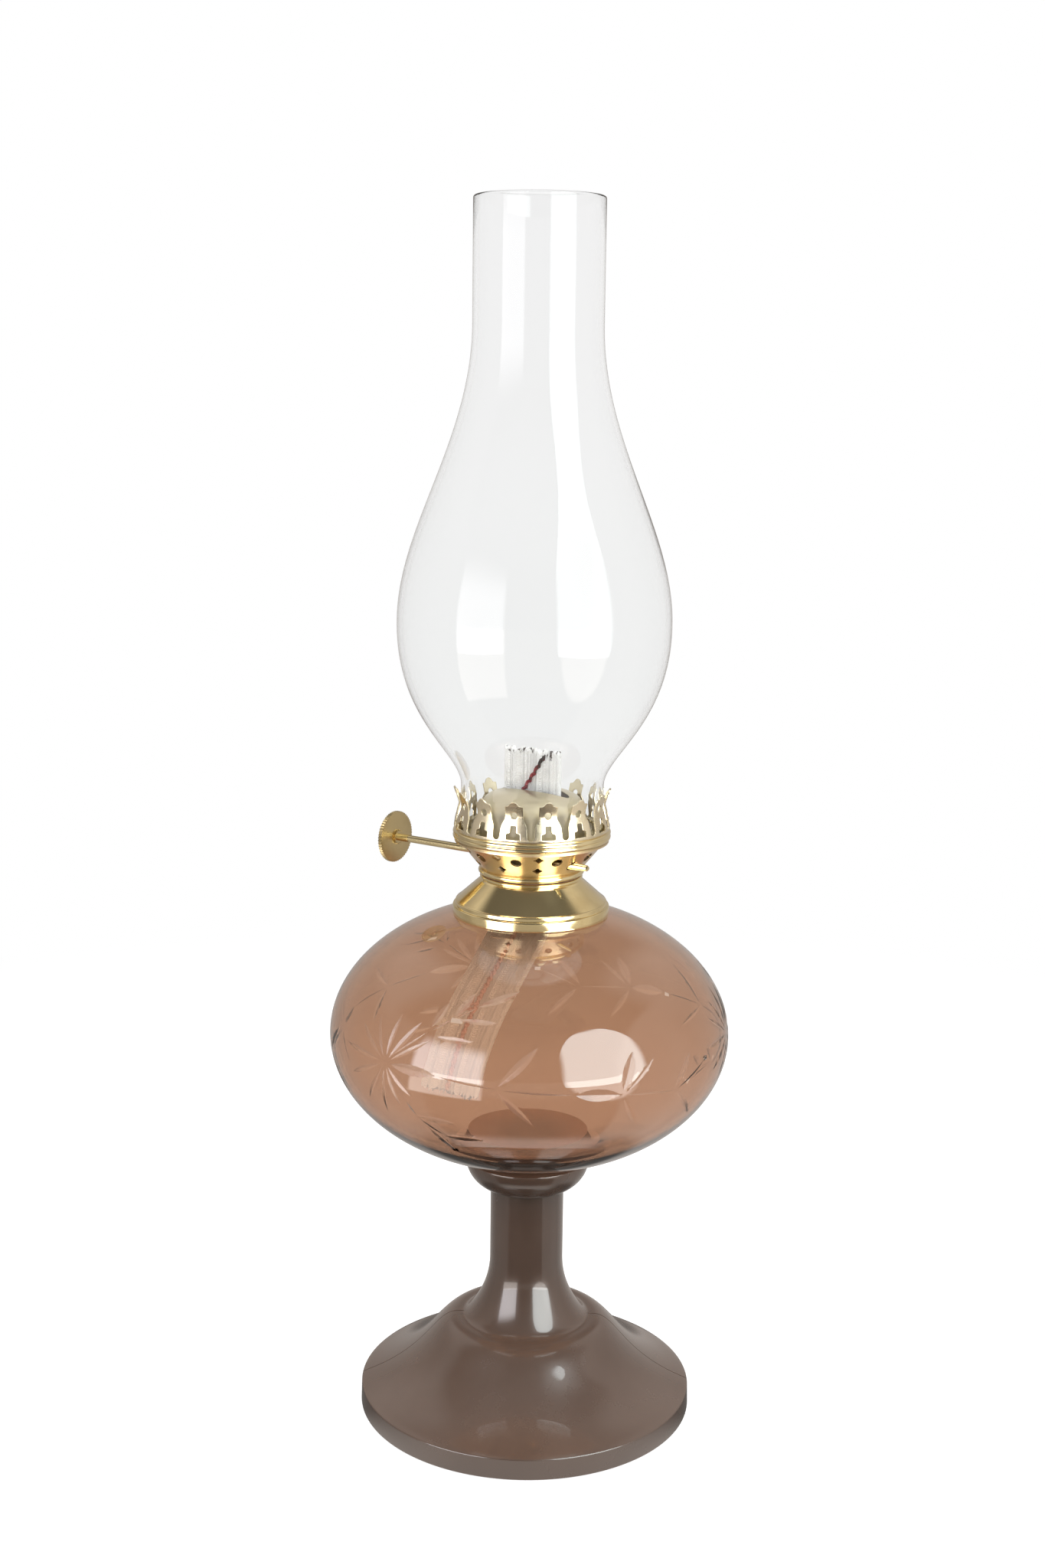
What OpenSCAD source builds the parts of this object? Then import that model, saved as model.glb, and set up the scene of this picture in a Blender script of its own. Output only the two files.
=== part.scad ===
// Table kerosene lamp with a flat wick burner, built up from the foot.
// Millimetres. The origin is on the floor under the middle of the foot and Z points up.
// The raiser shaft lies along X with its knob on the -X side, so the wick is wide along X.
// The stack is worked out upwards: foot, font, collar, gasket, burner, chimney.

/* [Foot and stem] */
// Diameter across the rim of the foot
foot_d = 129.4; // [116:0.2:142]
// Height of the upright rim
rim_h = 8.4; // [6:0.2:11]
// Height of the shelf on top of the bell
shelf_z = 35; // [31:0.2:40]
// Diameter of the plain stem
stem_d = 28.4; // [26:0.2:31]
// Height of the flare at the bottom of the stem
flare_h = 24.5; // [20:0.5:30]
// Diameter of the cup that carries the font
cup_d = 48; // [46:0.5:54]
// Height of the rim of the cup above the floor
cup_z = 101; // [94:0.5:115]
// Thickness of the moulded foot
foot_wall = 3.2; // [2.4:0.1:4.5]

/* [Font] */
// Diameter of the glass font
font_d = 152.2; // [140:0.2:166]
// Height of the rounded glass body without peg and neck
font_h = 100; // [92:0.5:110]
// Thickness of the font glass
font_wall = 3; // [2.2:0.1:4]
// Diameter of the glass peg under the font
peg_d = 30; // [26:0.5:31]
// Length of the glass peg below the rim of the cup
peg_l = 9; // [7:0.5:10]
// Thickness of the plaster around the peg and under it
plaster = 1.2; // [0.8:0.1:1.6]

/* [Collar] */
// Diameter of the collar's lower rim
collar_d = 59.2; // [57:0.2:64]
// Height of the collar from its rim to its top face
collar_h = 15.4; // [15:0.1:18]
// Diameter of the collar's top bead
collar_top_d = 38.8; // [38.4:0.1:40]
// Thickness of the collar's brass
collar_wall = 0.8; // [0.6:0.1:1]

/* [Burner] */
// Outside diameter of the burner's screw skirt, under the thread
skirt_d = 32.4; // [32:0.1:32.6]
// Rise of the screw thread for one turn
thread_pitch = 2.5; // [2.3:0.1:3]
// Turns of thread
thread_turns = 2; // [1.5:0.25:2.25]
// Thickness of the gasket under the burner
gasket_t = 0.6; // [0.5:0.1:1]
// Diameter of the bead around the burner's base
base_bead_d = 40; // [39.6:0.1:41]
// Diameter at the top of the air basket
basket_d = 54.8; // [53:0.2:56]
// Height of the air basket
basket_h = 11; // [10.8:0.1:12.5]
// Number of places for round air holes around the basket
air_holes = 10; // [8:1:10]
// Diameter of the round air holes
air_hole_d = 4.2; // [3.4:0.1:4.4]
// Thickness of the burner's sheet brass
sheet = 0.5; // [0.4:0.05:0.6]

/* [Gallery and dome] */
// Diameter over the two beads of the gallery
gallery_d = 59.4; // [58.8:0.1:61]
// Number of prongs
prongs = 14; // [12:1:16]
// Height of the gallery from the air sieve to the prong tips
gallery_h = 18.9; // [18.6:0.1:20]
// Diameter of the flame dome
dome_d = 39.2; // [37.4:0.2:40]
// Height of the flame dome above the air sieve
dome_h = 19.6; // [18.8:0.2:21]
// Length of the slot in the dome
dome_slot_l = 32; // [29:0.5:33]
// Width of the slot in the dome, at its middle
dome_slot_w = 10; // [7:0.2:11]

/* [Wick and raiser] */
// Width of the flat wick
wick_w = 25; // [23:0.5:25]
// Thickness of the wick
wick_t = 2.8; // [2.4:0.1:3]
// Height of the wick above the dome
wick_up = 14; // [8:0.5:18]
// Slope of the wick's tail from the vertical, in degrees
tail_slope = 50; // [40:1:52]
// Length of the straight stretch of the tail
tail_l = 34; // [20:1:36]
// Diameter of the raiser shaft
shaft_d = 2.8; // [2.6:0.1:3]
// Distance of the shaft from the middle of the wick
shaft_off = 6; // [5.8:0.1:6.2]
// Reach of the shaft from the lamp's axis to the knob
knob_reach = 60; // [50:0.5:68]
// Reach of the shaft's tip on the other side
tip_reach = 29; // [27:0.5:33]
// Diameter of the knob
knob_d = 20; // [16:0.5:22]
// Thickness of the knob
knob_t = 1.5; // [1.2:0.1:2.2]
// Number of grooves around the knob
knob_grooves = 56; // [40:2:64]
// Number of teeth on each spur wheel
spur_teeth = 12; // [10:1:14]

/* [Chimney] */
// Height of the chimney glass
chimney_h = 232.4; // [210:0.2:250]
// Diameter of the chimney's base
chimney_base_d = 53.4; // [52.4:0.1:53.6]
// Diameter of the bulb
chimney_bulb_d = 101.4; // [90:0.2:110]
// Diameter of the top of the chimney
chimney_top_d = 47.4; // [42:0.2:50]
// Thickness of the chimney glass
chimney_wall = 1.8; // [1.4:0.1:2.2]

/* [Clearances] */
// Gap between curved faces that stay together
bed_gap = 0.05; // [0.03:0.01:0.08]
// Radial running gap between the shaft and its bearings
run_gap = 0.05; // [0.03:0.01:0.08]
// Gap between pieces that move past each other
free_gap = 0.35; // [0.3:0.05:0.45]

/* [Hidden] */

// Foot and cup
foot_r = foot_d / 2;
stem_r = stem_d / 2;
flare_r = stem_r + 9.8;
cup_r = cup_d / 2;
cup_arc = 12;
lip_rise = 1.8;
stem_bore = stem_r - 4;

// Font and its peg in the cup
font_a = font_d / 2;
font_b = font_h / 2;
font_z = cup_z + 1 + font_b;
peg_r = peg_d / 2;
socket_r = peg_r + plaster;
peg_z = cup_z - peg_l;
socket_z = peg_z - plaster;
neck_in = skirt_d / 2 + 3.8;
neck_r = neck_in + font_wall;

// Collar, standing on the shoulder of the font
collar_r = collar_d / 2;
collar_z = font_top(collar_r - 0.4) + bed_gap;
collar_top = collar_z + collar_h;
collar_top_r = collar_top_d / 2;
skirt_r = skirt_d / 2;
thread_deep = 0.7;
sleeve_r = skirt_r + thread_deep + free_gap;
sleeve_out = sleeve_r + collar_wall;
neck_top = collar_z + 7.8;
cone_r = collar_r - 1.6;
cone_z = collar_z + 5.6;
cone_top_z = collar_top - 1.4;
cone_in = cone_r - collar_wall * 1.4;

// Burner, standing on the gasket
base_z = collar_top + gasket_t;
bead_h = 1.9;
base_bead_r = base_bead_d / 2;
skirt_l = 9;
skirt_in = skirt_r - 1.3;
floor_in = skirt_r - 0.6;
floor_z = base_z - 1.6;
basket_z = base_z + bead_h;
basket_r0 = base_bead_r - 1.1;
basket_r = basket_d / 2;
basket_top = basket_z + basket_h;
basket_lean = atan((basket_r - basket_r0) / (basket_h - sheet));
sieve_z = basket_top;
seat_z = sieve_z + 0.6;

// Gallery, dome and chimney stand on the air sieve
ring_r = gallery_d / 2 - 0.95;
ring_in = ring_r - 0.55;
gallery_top = seat_z + gallery_h;
chimney_r = chimney_base_d / 2;
waist_r = chimney_r + free_gap + sheet;
tip_r = waist_r + 2;
dome_r = dome_d / 2;
dome_top = seat_z + dome_h;

// Wick, wick tube and raiser
tube_in_w = wick_w + 1.4;
tube_in_t = wick_t + 0.8;
tube_w = tube_in_w + 2 * sheet;
tube_t = tube_in_t + 2 * sheet;
tube_z = base_z - 2.4;
tube_top = dome_top - 3.8;
vent_r = 1.5;
vent_y = tube_t / 2 + vent_r + bed_gap;
shaft_r = shaft_d / 2;
shaft_y = -shaft_off;
shaft_z = base_z + 6.5;
spur_r = shaft_off - wick_t / 2 - 0.3;
spur_t = 1;
spur_pitch = 6;
case_x = 9.4;
case_y = shaft_off + spur_r + 0.9;
case_h = 2 * spur_r + 2;
knob_r = knob_d / 2;
bend_r = 14;
bend_z = tube_z - 7;
wick_top = dome_top + wick_up;
spike = 0.9;

// Points of an arc about c from angle a to angle b
function arc_pts(c, r, a, b, n) =
    [for (i = [0 : n]) c + r * [cos(a + (b - a) * i / n), sin(a + (b - a) * i / n)]];

// Points of a cubic curve through p to s with the handles q and r
function curve_pts(p, q, r, s, n) =
    [for (i = [0 : n]) let (t = i / n, u = 1 - t)
        u * u * u * p + 3 * u * u * t * q + 3 * u * t * t * r + t * t * t * s];

// Height of the font's outside above and below its middle at a radius
function font_top(r) = font_z + font_b * sqrt(1 - pow(r / font_a, 2));
function font_low(r) = font_z - font_b * sqrt(1 - pow(r / font_a, 2));

// Points of the font's outside, or of its inside when the wall is taken off
function font_pts(off, a, b, n) =
    [for (i = [0 : n]) let (t = a + (b - a) * i / n)
        [(font_a - off) * cos(t), font_z + (font_b - off) * sin(t)]];

// Direction to the left of a path at point i, and a sheet of thickness t on that side
function left_of(p, i) =
    let (d = p[min(i + 1, len(p) - 1)] - p[max(i - 1, 0)]) [-d[1], d[0]] / norm(d);
function offset_pts(p, t) = [for (i = [0 : len(p) - 1]) p[i] + t * left_of(p, i)];
function turned(p) = [for (i = [len(p) - 1 : -1 : 0]) p[i]];
function sheet_pts(p, t) = concat(p, turned(offset_pts(p, t)));

// Solid of revolution about Z from points [radius, height]
module lathe(pts) {
    rotate_extrude($fn = 96)
        polygon(pts);
}

// Flat tube outline, wide along X with round ends
module flat_oval(w, t) {
    square([w - t, t], center = true);
    for (s = [-1, 1])
        translate([s * (w - t) / 2, 0])
            circle(d = t, $fn = 48);
}

// Round bar along X from x0 to x1 at the shaft's place
module shaft_bar(x0, x1, r) {
    translate([x0, shaft_y, shaft_z])
        rotate([0, 90, 0])
            cylinder(r = r, h = x1 - x0, $fn = 48);
}

// Thread ridge: a strip of four corners wound up from z0, with its root at r0 and its crest at r1
module thread_ridge(r0, r1, z0, half_root, half_crest, start) {
    steps = 18;
    n = round(steps * thread_turns);
    corners = [[r0, -half_root], [r1, -half_crest], [r1, half_crest], [r0, half_root]];
    pts = [for (i = [0 : n], k = [0 : 3])
        let (a = start + i * 360 / steps, c = corners[k])
        [c[0] * cos(a), c[0] * sin(a), z0 + i * thread_pitch / steps + c[1]]];
    flip = r1 > r0;
    ends = [[0, 1, 2, 3], [4 * n + 3, 4 * n + 2, 4 * n + 1, 4 * n]];
    sides = [for (i = [0 : n - 1], k = [0 : 3], h = [0, 1])
        let (a = 4 * i + k, b = 4 * i + (k + 1) % 4, c = b + 4, d = a + 4)
        h == 0 ? [a, d, c] : [a, c, b]];
    faces = concat(ends, sides);
    polyhedron(points = pts, faces = flip ? [for (f = faces) turned(f)] : faces, convexity = 6);
}

module pedestal() {
    bell = curve_pts([foot_r - 0.8, rim_h + 0.5], [0.583 * foot_r, rim_h + 0.395 * (shelf_z - rim_h)],
        [0.56 * foot_r, shelf_z], [0.412 * foot_r, shelf_z], 28);
    flare_arc = (pow(flare_h, 2) + pow(flare_r - stem_r, 2)) / 2 / (flare_r - stem_r);
    flare = arc_pts([stem_r + flare_arc, shelf_z + flare_h], flare_arc,
        176 + asin(flare_h / flare_arc), 180, 14);
    fillet = curve_pts([flare_r + 1.4, shelf_z], [flare_r + 0.3, shelf_z],
        [flare_r - 0.6, shelf_z + 0.7], flare[0], 4);
    cup_start = acos((stem_r - cup_r + cup_arc) / cup_arc);
    cup = arc_pts([cup_r - cup_arc, cup_z - 0.3], cup_arc, -cup_start, 0, 12);
    inside = [for (p = bell) p - [foot_wall, foot_wall]];
    color("rosybrown")
        lathe(concat(
            [[foot_r, 0], [foot_r - 0.3, rim_h - 0.7], [foot_r - 0.45, rim_h - 0.2]],
            bell,
            [for (i = [0 : 3]) fillet[i]],
            flare, cup,
            [[cup_r - 0.3, cup_z], [socket_r, cup_z + lip_rise], [socket_r, socket_z], [0, socket_z],
                [0, socket_z - 6], [stem_bore, socket_z - 6], [stem_bore, shelf_z + 9]],
            turned(inside),
            [[foot_r - foot_wall - 0.3, rim_h - foot_wall - 0.9], [foot_r - foot_wall, 0]]));
}

module font_cement() {
    color("gainsboro")
        lathe([[0, socket_z], [socket_r - bed_gap, socket_z], [socket_r - bed_gap, cup_z - 0.4],
            [peg_r + bed_gap, cup_z - 0.4], [peg_r + bed_gap, peg_z], [0, peg_z]]);
}

module font() {
    color("saddlebrown", 0.6)
        lathe(concat(
            [[0, peg_z], [peg_r - 0.6, peg_z], [peg_r, peg_z + 0.6]],
            font_pts(0, -acos(peg_r / font_a), acos(neck_r / font_a), 44),
            [[neck_r, neck_top], [neck_in, neck_top],
                [neck_in, font_top(neck_in) - font_wall + 2.6],
                [neck_in + 0.8, font_top(neck_in) - font_wall + 0.9]],
            font_pts(font_wall, acos((neck_in + 2.4) / (font_a - font_wall)), -90, 44)));
}

module collar_cement() {
    foot_of = collar_r - collar_wall - 0.6;
    color("gainsboro")
        lathe(concat(
            [[neck_r + bed_gap, neck_top], [neck_r + bed_gap, font_top(neck_r) + bed_gap]],
            [for (i = [1 : 6]) let (r = neck_r + (foot_of - neck_r) * i / 6)
                [r, font_top(r) + bed_gap]],
            [[foot_of, collar_z + 2.2], [cone_in - 0.35, collar_z + 2.4], [cone_in - 0.35, cone_z - 0.5],
                [sleeve_out + 1, cone_z - 0.7 + cone_in - 1.35 - sleeve_out],
                [sleeve_out + 1, cone_top_z - 0.6], [sleeve_out + bed_gap, cone_top_z - 0.6],
                [sleeve_out + bed_gap, neck_top]]));
}

module collar() {
    top_bead = arc_pts([collar_top_r - 0.6, collar_top - 0.62], 0.6, -70, 80, 8);
    color("goldenrod") {
        lathe(concat(
            [[collar_r - 0.4, collar_z], [collar_r, collar_z + 0.4], [collar_r, collar_z + 3.3],
                [collar_r - 0.2, collar_z + 3.7], [collar_r - 0.6, collar_z + 3.9],
                [collar_r - 1, collar_z + 4], [collar_r - 1, collar_z + 5.1],
                [collar_r - 1.2, collar_z + 5.4], [cone_r, cone_z],
                [collar_top_r - 0.2, cone_top_z - 0.5], [collar_top_r - 0.6, cone_top_z - 0.1]],
            top_bead,
            [[collar_top_r - 0.6, collar_top], [sleeve_r, collar_top], [sleeve_r, collar_top - 9],
                [sleeve_out, collar_top - 9], [sleeve_out, cone_top_z - 0.6],
                [sleeve_out + 1.05, cone_top_z - 0.6], [cone_in, cone_z - 0.3],
                [cone_in, collar_z + 3], [collar_r - collar_wall, collar_z + 2.6],
                [collar_r - collar_wall, collar_z + 0.4]]));
        thread_ridge(sleeve_r + 0.2, sleeve_r - thread_deep, collar_top - 8.2 + thread_pitch / 2,
            0.45, 0.2, 0);
    }
}

module burner_gasket() {
    color("sienna")
        lathe([[sleeve_r, collar_top], [collar_top_r - 0.7, collar_top],
            [collar_top_r - 0.7, base_z], [sleeve_r, base_z]]);
}

module burner_screw() {
    bead = arc_pts([base_bead_r - bead_h / 2, base_z + bead_h / 2], bead_h / 2, -90, 90, 12);
    color("darkgoldenrod") {
        lathe(concat(
            [[skirt_in, base_z - skirt_l], [skirt_r, base_z - skirt_l], [skirt_r, base_z]],
            bead,
            [[floor_in, basket_z], [floor_in, floor_z], [skirt_in, floor_z]]));
        thread_ridge(skirt_r - 0.2, skirt_r + thread_deep, base_z - gasket_t - 8.2, 0.45, 0.2, 0);
    }
}

module burner_floor() {
    color("darkgoldenrod")
        difference() {
            translate([0, 0, floor_z])
                cylinder(r = floor_in - bed_gap, h = 0.6, $fn = 96);
            translate([0, 0, floor_z - 1])
                linear_extrude(3)
                    flat_oval(tube_w + 2 * bed_gap, tube_t + 2 * bed_gap);
            vent_bar(vent_r + bed_gap, floor_z - 1, floor_z + 2);
        }
}

// Upright bar at the place of the vent
module vent_bar(r, z0, z1) {
    translate([0, vent_y, z0])
        cylinder(r = r, h = z1 - z0, $fn = 40);
}

module vent_tube() {
    color("darkgoldenrod")
        difference() {
            vent_bar(vent_r, floor_z - 2, tube_top - 3);
            vent_bar(vent_r - 0.4, floor_z - 3, tube_top);
        }
}

module wick_tube() {
    color("darkgoldenrod")
        difference() {
            translate([0, 0, tube_z])
                linear_extrude(tube_top - tube_z)
                    difference() {
                        flat_oval(tube_w, tube_t);
                        flat_oval(tube_in_w, tube_in_t);
                    }
            for (i = [-1 : 1])
                translate([i * spur_pitch - spur_t / 2 - 0.4, -tube_t, shaft_z - spur_r])
                    cube([spur_t + 0.8, tube_t, 2 * spur_r]);
        }
}

module wheel_case() {
    color("darkgoldenrod")
        difference() {
            translate([-case_x, -case_y, shaft_z - case_h / 2])
                cube([2 * case_x, case_y - tube_t / 2, case_h]);
            translate([0.6 - case_x, 0.6 - case_y, shaft_z - case_h / 2 + 0.6])
                cube([2 * case_x - 1.2, case_y, case_h - 1.2]);
            shaft_bar(-case_x - 1, case_x + 1, shaft_r + run_gap);
        }
}

// Cutter square to the basket's wall at angle a and height z above the basket's bottom
module basket_place(a, z) {
    rotate([0, 0, a])
        translate([basket_r0 + z * tan(basket_lean), 0, basket_z + z])
            rotate([0, 90 + basket_lean, 0])
                translate([0, 0, -2])
                    children();
}

// Four pointed air hole, w wide around the basket and h high
module star(w, h) {
    linear_extrude(4)
        polygon([[h / 2, 0], [0.22 * h, 0.22 * w], [0, w / 2], [-0.22 * h, 0.22 * w],
            [-h / 2, 0], [-0.22 * h, -0.22 * w], [0, -w / 2], [0.22 * h, -0.22 * w]]);
}

module air_basket() {
    wall = [[basket_r0, basket_z], [basket_r, basket_top - sheet], [ring_r + 0.3, basket_top - sheet],
        [ring_r + 0.3, basket_top], [basket_r - sheet * 1.2, basket_top],
        [basket_r0 - sheet * 1.2, basket_z + sheet], [floor_in, basket_z + sheet], [floor_in, basket_z]];
    pitch = 360 / air_holes;
    first = 2;
    // The shaft leaves the wall at -leave and at 180 + leave, and holes keep clear of both places
    leave = asin(shaft_off / (basket_r0 + (shaft_z - basket_z) * tan(basket_lean)));
    function clear_of_shaft(a) = cos(a + leave) < cos(12) && -cos(a - leave) < cos(12);
    color("goldenrod")
        difference() {
            lathe(wall);
            for (i = [0 : air_holes - 1]) {
                at = first + i * pitch;
                between = at + 0.54 * pitch;
                if (clear_of_shaft(at))
                    basket_place(at, basket_h * 0.63)
                        cylinder(d = air_hole_d, h = 4, $fn = 40);
                if (clear_of_shaft(between)) {
                    basket_place(between, basket_h * 0.31)
                        star(4.2, 3.6);
                    basket_place(between, basket_h * 0.76)
                        star(4.2, 3.6);
                }
            }
            shaft_bar(-basket_r, basket_r, shaft_r + free_gap + 0.05);
        }
}

module air_sieve() {
    holes_out = 36;
    holes_in = 24;
    color("darkgoldenrod")
        difference() {
            translate([0, 0, sieve_z])
                cylinder(r = ring_r + 0.3, h = seat_z - sieve_z, $fn = 96);
            translate([0, 0, sieve_z - 1])
                linear_extrude(3)
                    flat_oval(tube_w + 2 * bed_gap, tube_t + 2 * bed_gap);
            vent_bar(vent_r + bed_gap, sieve_z - 1, seat_z + 1);
            for (i = [0 : holes_out - 1])
                rotate([0, 0, i * 360 / holes_out])
                    translate([dome_r + 2.6, 0, sieve_z - 1])
                        cylinder(d = 1.8, h = 3, $fn = 24);
            for (i = [0 : holes_in - 1])
                rotate([0, 0, i * 360 / holes_in])
                    translate([dome_r - 2.4, 0, sieve_z - 1])
                        cylinder(d = 1.8, h = 3, $fn = 24);
        }
}

// Gap between two prongs, drawn flat with x around the gallery and y up from the seat
module prong_gap() {
    base = 1.3;
    half = waist_r * sin(180 / prongs) - 3.35;
    lobe = (tip_r - 0.4) * sin(180 / prongs) - 2.3;
    side = concat(
        arc_pts([0, 6], base, -90, 0, 4),
        [[base + 0.2, 9.4]],
        curve_pts([base + 0.4, 10], [base + 0.8, 11.4], [half, 11.8], [half, 13.4], 4),
        [[half + 0.1, gallery_h - 1.7]],
        curve_pts([lobe, gallery_h - 1.6], [lobe + 0.9, gallery_h - 1.4],
            [lobe + 0.8, gallery_h - 0.05], [lobe + 2.3, gallery_h], 5),
        [[lobe + 2.3, gallery_h + 2]]);
    polygon(concat(side, [for (p = turned(side)) [-p[0], p[1]]]));
}

// Cut through the gallery's wall, from a flat drawing, at angle a
module prong_cut(a) {
    rotate([0, 0, a])
        translate([waist_r - 4, 0, seat_z])
            rotate([90, 0, 90])
                linear_extrude(9)
                    children();
}

module gallery() {
    step = 360 / prongs;
    first = 7;
    wall = concat(
        curve_pts([ring_r + 0.25, seat_z + 3.6], [ring_r + 1.3, seat_z + 4.6],
            [waist_r + 0.9, seat_z + 9.2], [waist_r, seat_z + 13], 8),
        curve_pts([waist_r + 0.02, seat_z + 13.4], [waist_r + 0.3, seat_z + 15.2],
            [tip_r - 0.7, seat_z + 17.4], [tip_r, gallery_top], 4));
    color("goldenrod")
        difference() {
            lathe(concat(
                [[ring_in, seat_z], [ring_r, seat_z]],
                arc_pts([ring_r, seat_z + 0.95], 0.95, -60, 52, 6),
                arc_pts([ring_r, seat_z + 2.5], 0.95, -52, 70, 6),
                sheet_pts(wall, sheet),
                [[ring_in, seat_z + 3.3]]));
            for (i = [0 : prongs - 1]) {
                prong_cut(first + (i + 0.5) * step)
                    prong_gap();
                prong_cut(first + i * step)
                    translate([-2.65, 5])
                        square([5.3, 2.5]);
                prong_cut(first + i * step)
                    translate([-1.1, 7])
                        square([2.2, 3.2]);
                prong_cut(first + i * step)
                    translate([0, 13.7])
                        circle(d = 2.7, $fn = 32);
            }
        }
}

module flame_dome() {
    skin = concat(
        [[dome_r + 0.5, seat_z], [dome_r + 0.1, seat_z + 0.8]],
        curve_pts([dome_r, seat_z + 8.3], [dome_r, dome_top - 2.2],
            [0.77 * dome_r, dome_top], [0, dome_top], 14));
    slot = arc_pts([0, 0], 1, 0, 350, 35);
    color("goldenrod")
        difference() {
            lathe(concat(skin, [[0, dome_top - sheet]],
                [for (i = [len(skin) - 2 : -1 : 1]) skin[i] + sheet * left_of(skin, i)],
                [[dome_r - 0.2, seat_z]]));
            translate([0, 0, dome_top - 8])
                linear_extrude(12)
                    polygon([for (p = slot) [p[0] * dome_slot_l / 2, p[1] * dome_slot_w / 2]]);
        }
}

module raiser_shaft() {
    color("goldenrod")
        translate([0, shaft_y, shaft_z])
            rotate([0, 90, 0])
                lathe([[0, -knob_reach - knob_t / 2 - 0.8], [shaft_r - 0.4, -knob_reach - knob_t / 2 - 0.8],
                    [shaft_r, -knob_reach - knob_t / 2 - 0.4], [shaft_r, tip_reach - 6.5],
                    [1.1, tip_reach - 0.6], [0.7, tip_reach], [0, tip_reach]]);
}

module spur_wheels() {
    pts = [for (i = [0 : 4 * spur_teeth - 1])
        let (a = i * 90 / spur_teeth, r = i % 4 < 1 ? spur_r : spur_r - spike - (i % 4 == 2 ? 0.3 : 0))
        r * [cos(a), sin(a)]];
    color("khaki")
        for (i = [-1 : 1])
            translate([i * spur_pitch - spur_t / 2, shaft_y, shaft_z])
                rotate([90, 0, 90])
                    linear_extrude(spur_t)
                        difference() {
                            polygon(pts);
                            circle(r = shaft_r + 0.02, $fn = 48);
                        }
}

module knob() {
    pts = [for (i = [0 : 2 * knob_grooves - 1])
        let (a = i * 180 / knob_grooves, r = knob_r - (i % 2) * 0.35)
        r * [cos(a), sin(a)]];
    color("goldenrod")
        translate([-knob_reach, shaft_y, shaft_z])
            rotate([90, 0, 90])
                difference() {
                    union() {
                        translate([0, 0, -knob_t / 2])
                            linear_extrude(knob_t)
                                polygon(pts);
                        cylinder(r = shaft_r + 1, h = knob_t / 2 + 1.2, $fn = 48);
                    }
                    translate([0, 0, -knob_t])
                        cylinder(r = shaft_r + 0.02, h = 3 * knob_t + 2, $fn = 48);
                    translate([0, 0, -knob_t / 2 - 1])
                        cylinder(r = knob_r - 2.2, h = 1.3, $fn = 64);
                }
}

module wick() {
    bend = arc_pts([-bend_r, bend_z], bend_r, 0, -tail_slope, 8);
    corner = bend[len(bend) - 1];
    down = [-sin(tail_slope), -cos(tail_slope)];
    knee = corner + tail_l * down;
    curl_r = 70;
    curl_c = knee + curl_r * [cos(tail_slope), -sin(tail_slope)];
    curl = arc_pts(curl_c, curl_r, 180 - tail_slope, 180 - tail_slope + 30, 8);
    mid = concat([[0, wick_top]], bend, curl);
    color("ivory")
        translate([-wick_w / 2, 0, 0])
            rotate([90, 0, 90])
                linear_extrude(wick_w)
                    polygon(concat(offset_pts(mid, wick_t / 2), turned(offset_pts(mid, -wick_t / 2))));
}

module chimney() {
    base_l = 20;
    bulb_z = 0.3445 * chimney_h;
    neck_l = 0.81 * chimney_h;
    bulb_r = chimney_bulb_d / 2;
    top_r = chimney_top_d / 2;
    skin = concat(
        [[chimney_r, 0.6]],
        curve_pts([chimney_r, base_l], [chimney_r, base_l + 0.053 * chimney_h],
            [bulb_r, 0.19 * chimney_h], [bulb_r, bulb_z], 22),
        curve_pts([bulb_r, bulb_z + 0.004 * chimney_h], [bulb_r, bulb_z + 0.152 * chimney_h],
            [top_r, neck_l - 0.18 * chimney_h], [top_r, neck_l], 26),
        [[top_r, chimney_h - 0.5]]);
    inner = offset_pts(skin, chimney_wall);
    color("lightcyan", 0.4)
        translate([0, 0, seat_z])
            lathe(concat([[chimney_r - 0.5, 0]], skin,
                [[top_r - 0.5, chimney_h], [top_r - chimney_wall + 0.4, chimney_h]],
                turned(inner), [[chimney_r - chimney_wall + 0.5, 0]]));
}

pedestal();
font_cement();
font();
collar_cement();
collar();
burner_gasket();
burner_screw();
burner_floor();
wick_tube();
vent_tube();
wheel_case();
air_basket();
air_sieve();
gallery();
flame_dome();
raiser_shaft();
spur_wheels();
knob();
wick();
chimney();
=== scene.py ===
# %% [markdown]
# # A kerosene table lamp
# The lamp is a stack. A moulded foot carries a tinted glass font, a brass collar closes the font, a
# flat wick burner screws into the collar, and a glass chimney stands on the burner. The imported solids
# give the lamp's size, its places and its joints, and this script dresses them. Nearly every piece of
# such a lamp is turned, spun or blown round, so most pieces here start from half an outline that is
# spun about the lamp's axis. Outlines are drawn in millimetres, and Blender works in metres.

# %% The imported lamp
from math import acos, asin, cos, degrees, pi, radians, sin, sqrt
from random import Random

import bmesh
import bpy
from mathutils import Matrix, Quaternion, Vector
from mathutils.geometry import interpolate_bezier


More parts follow.
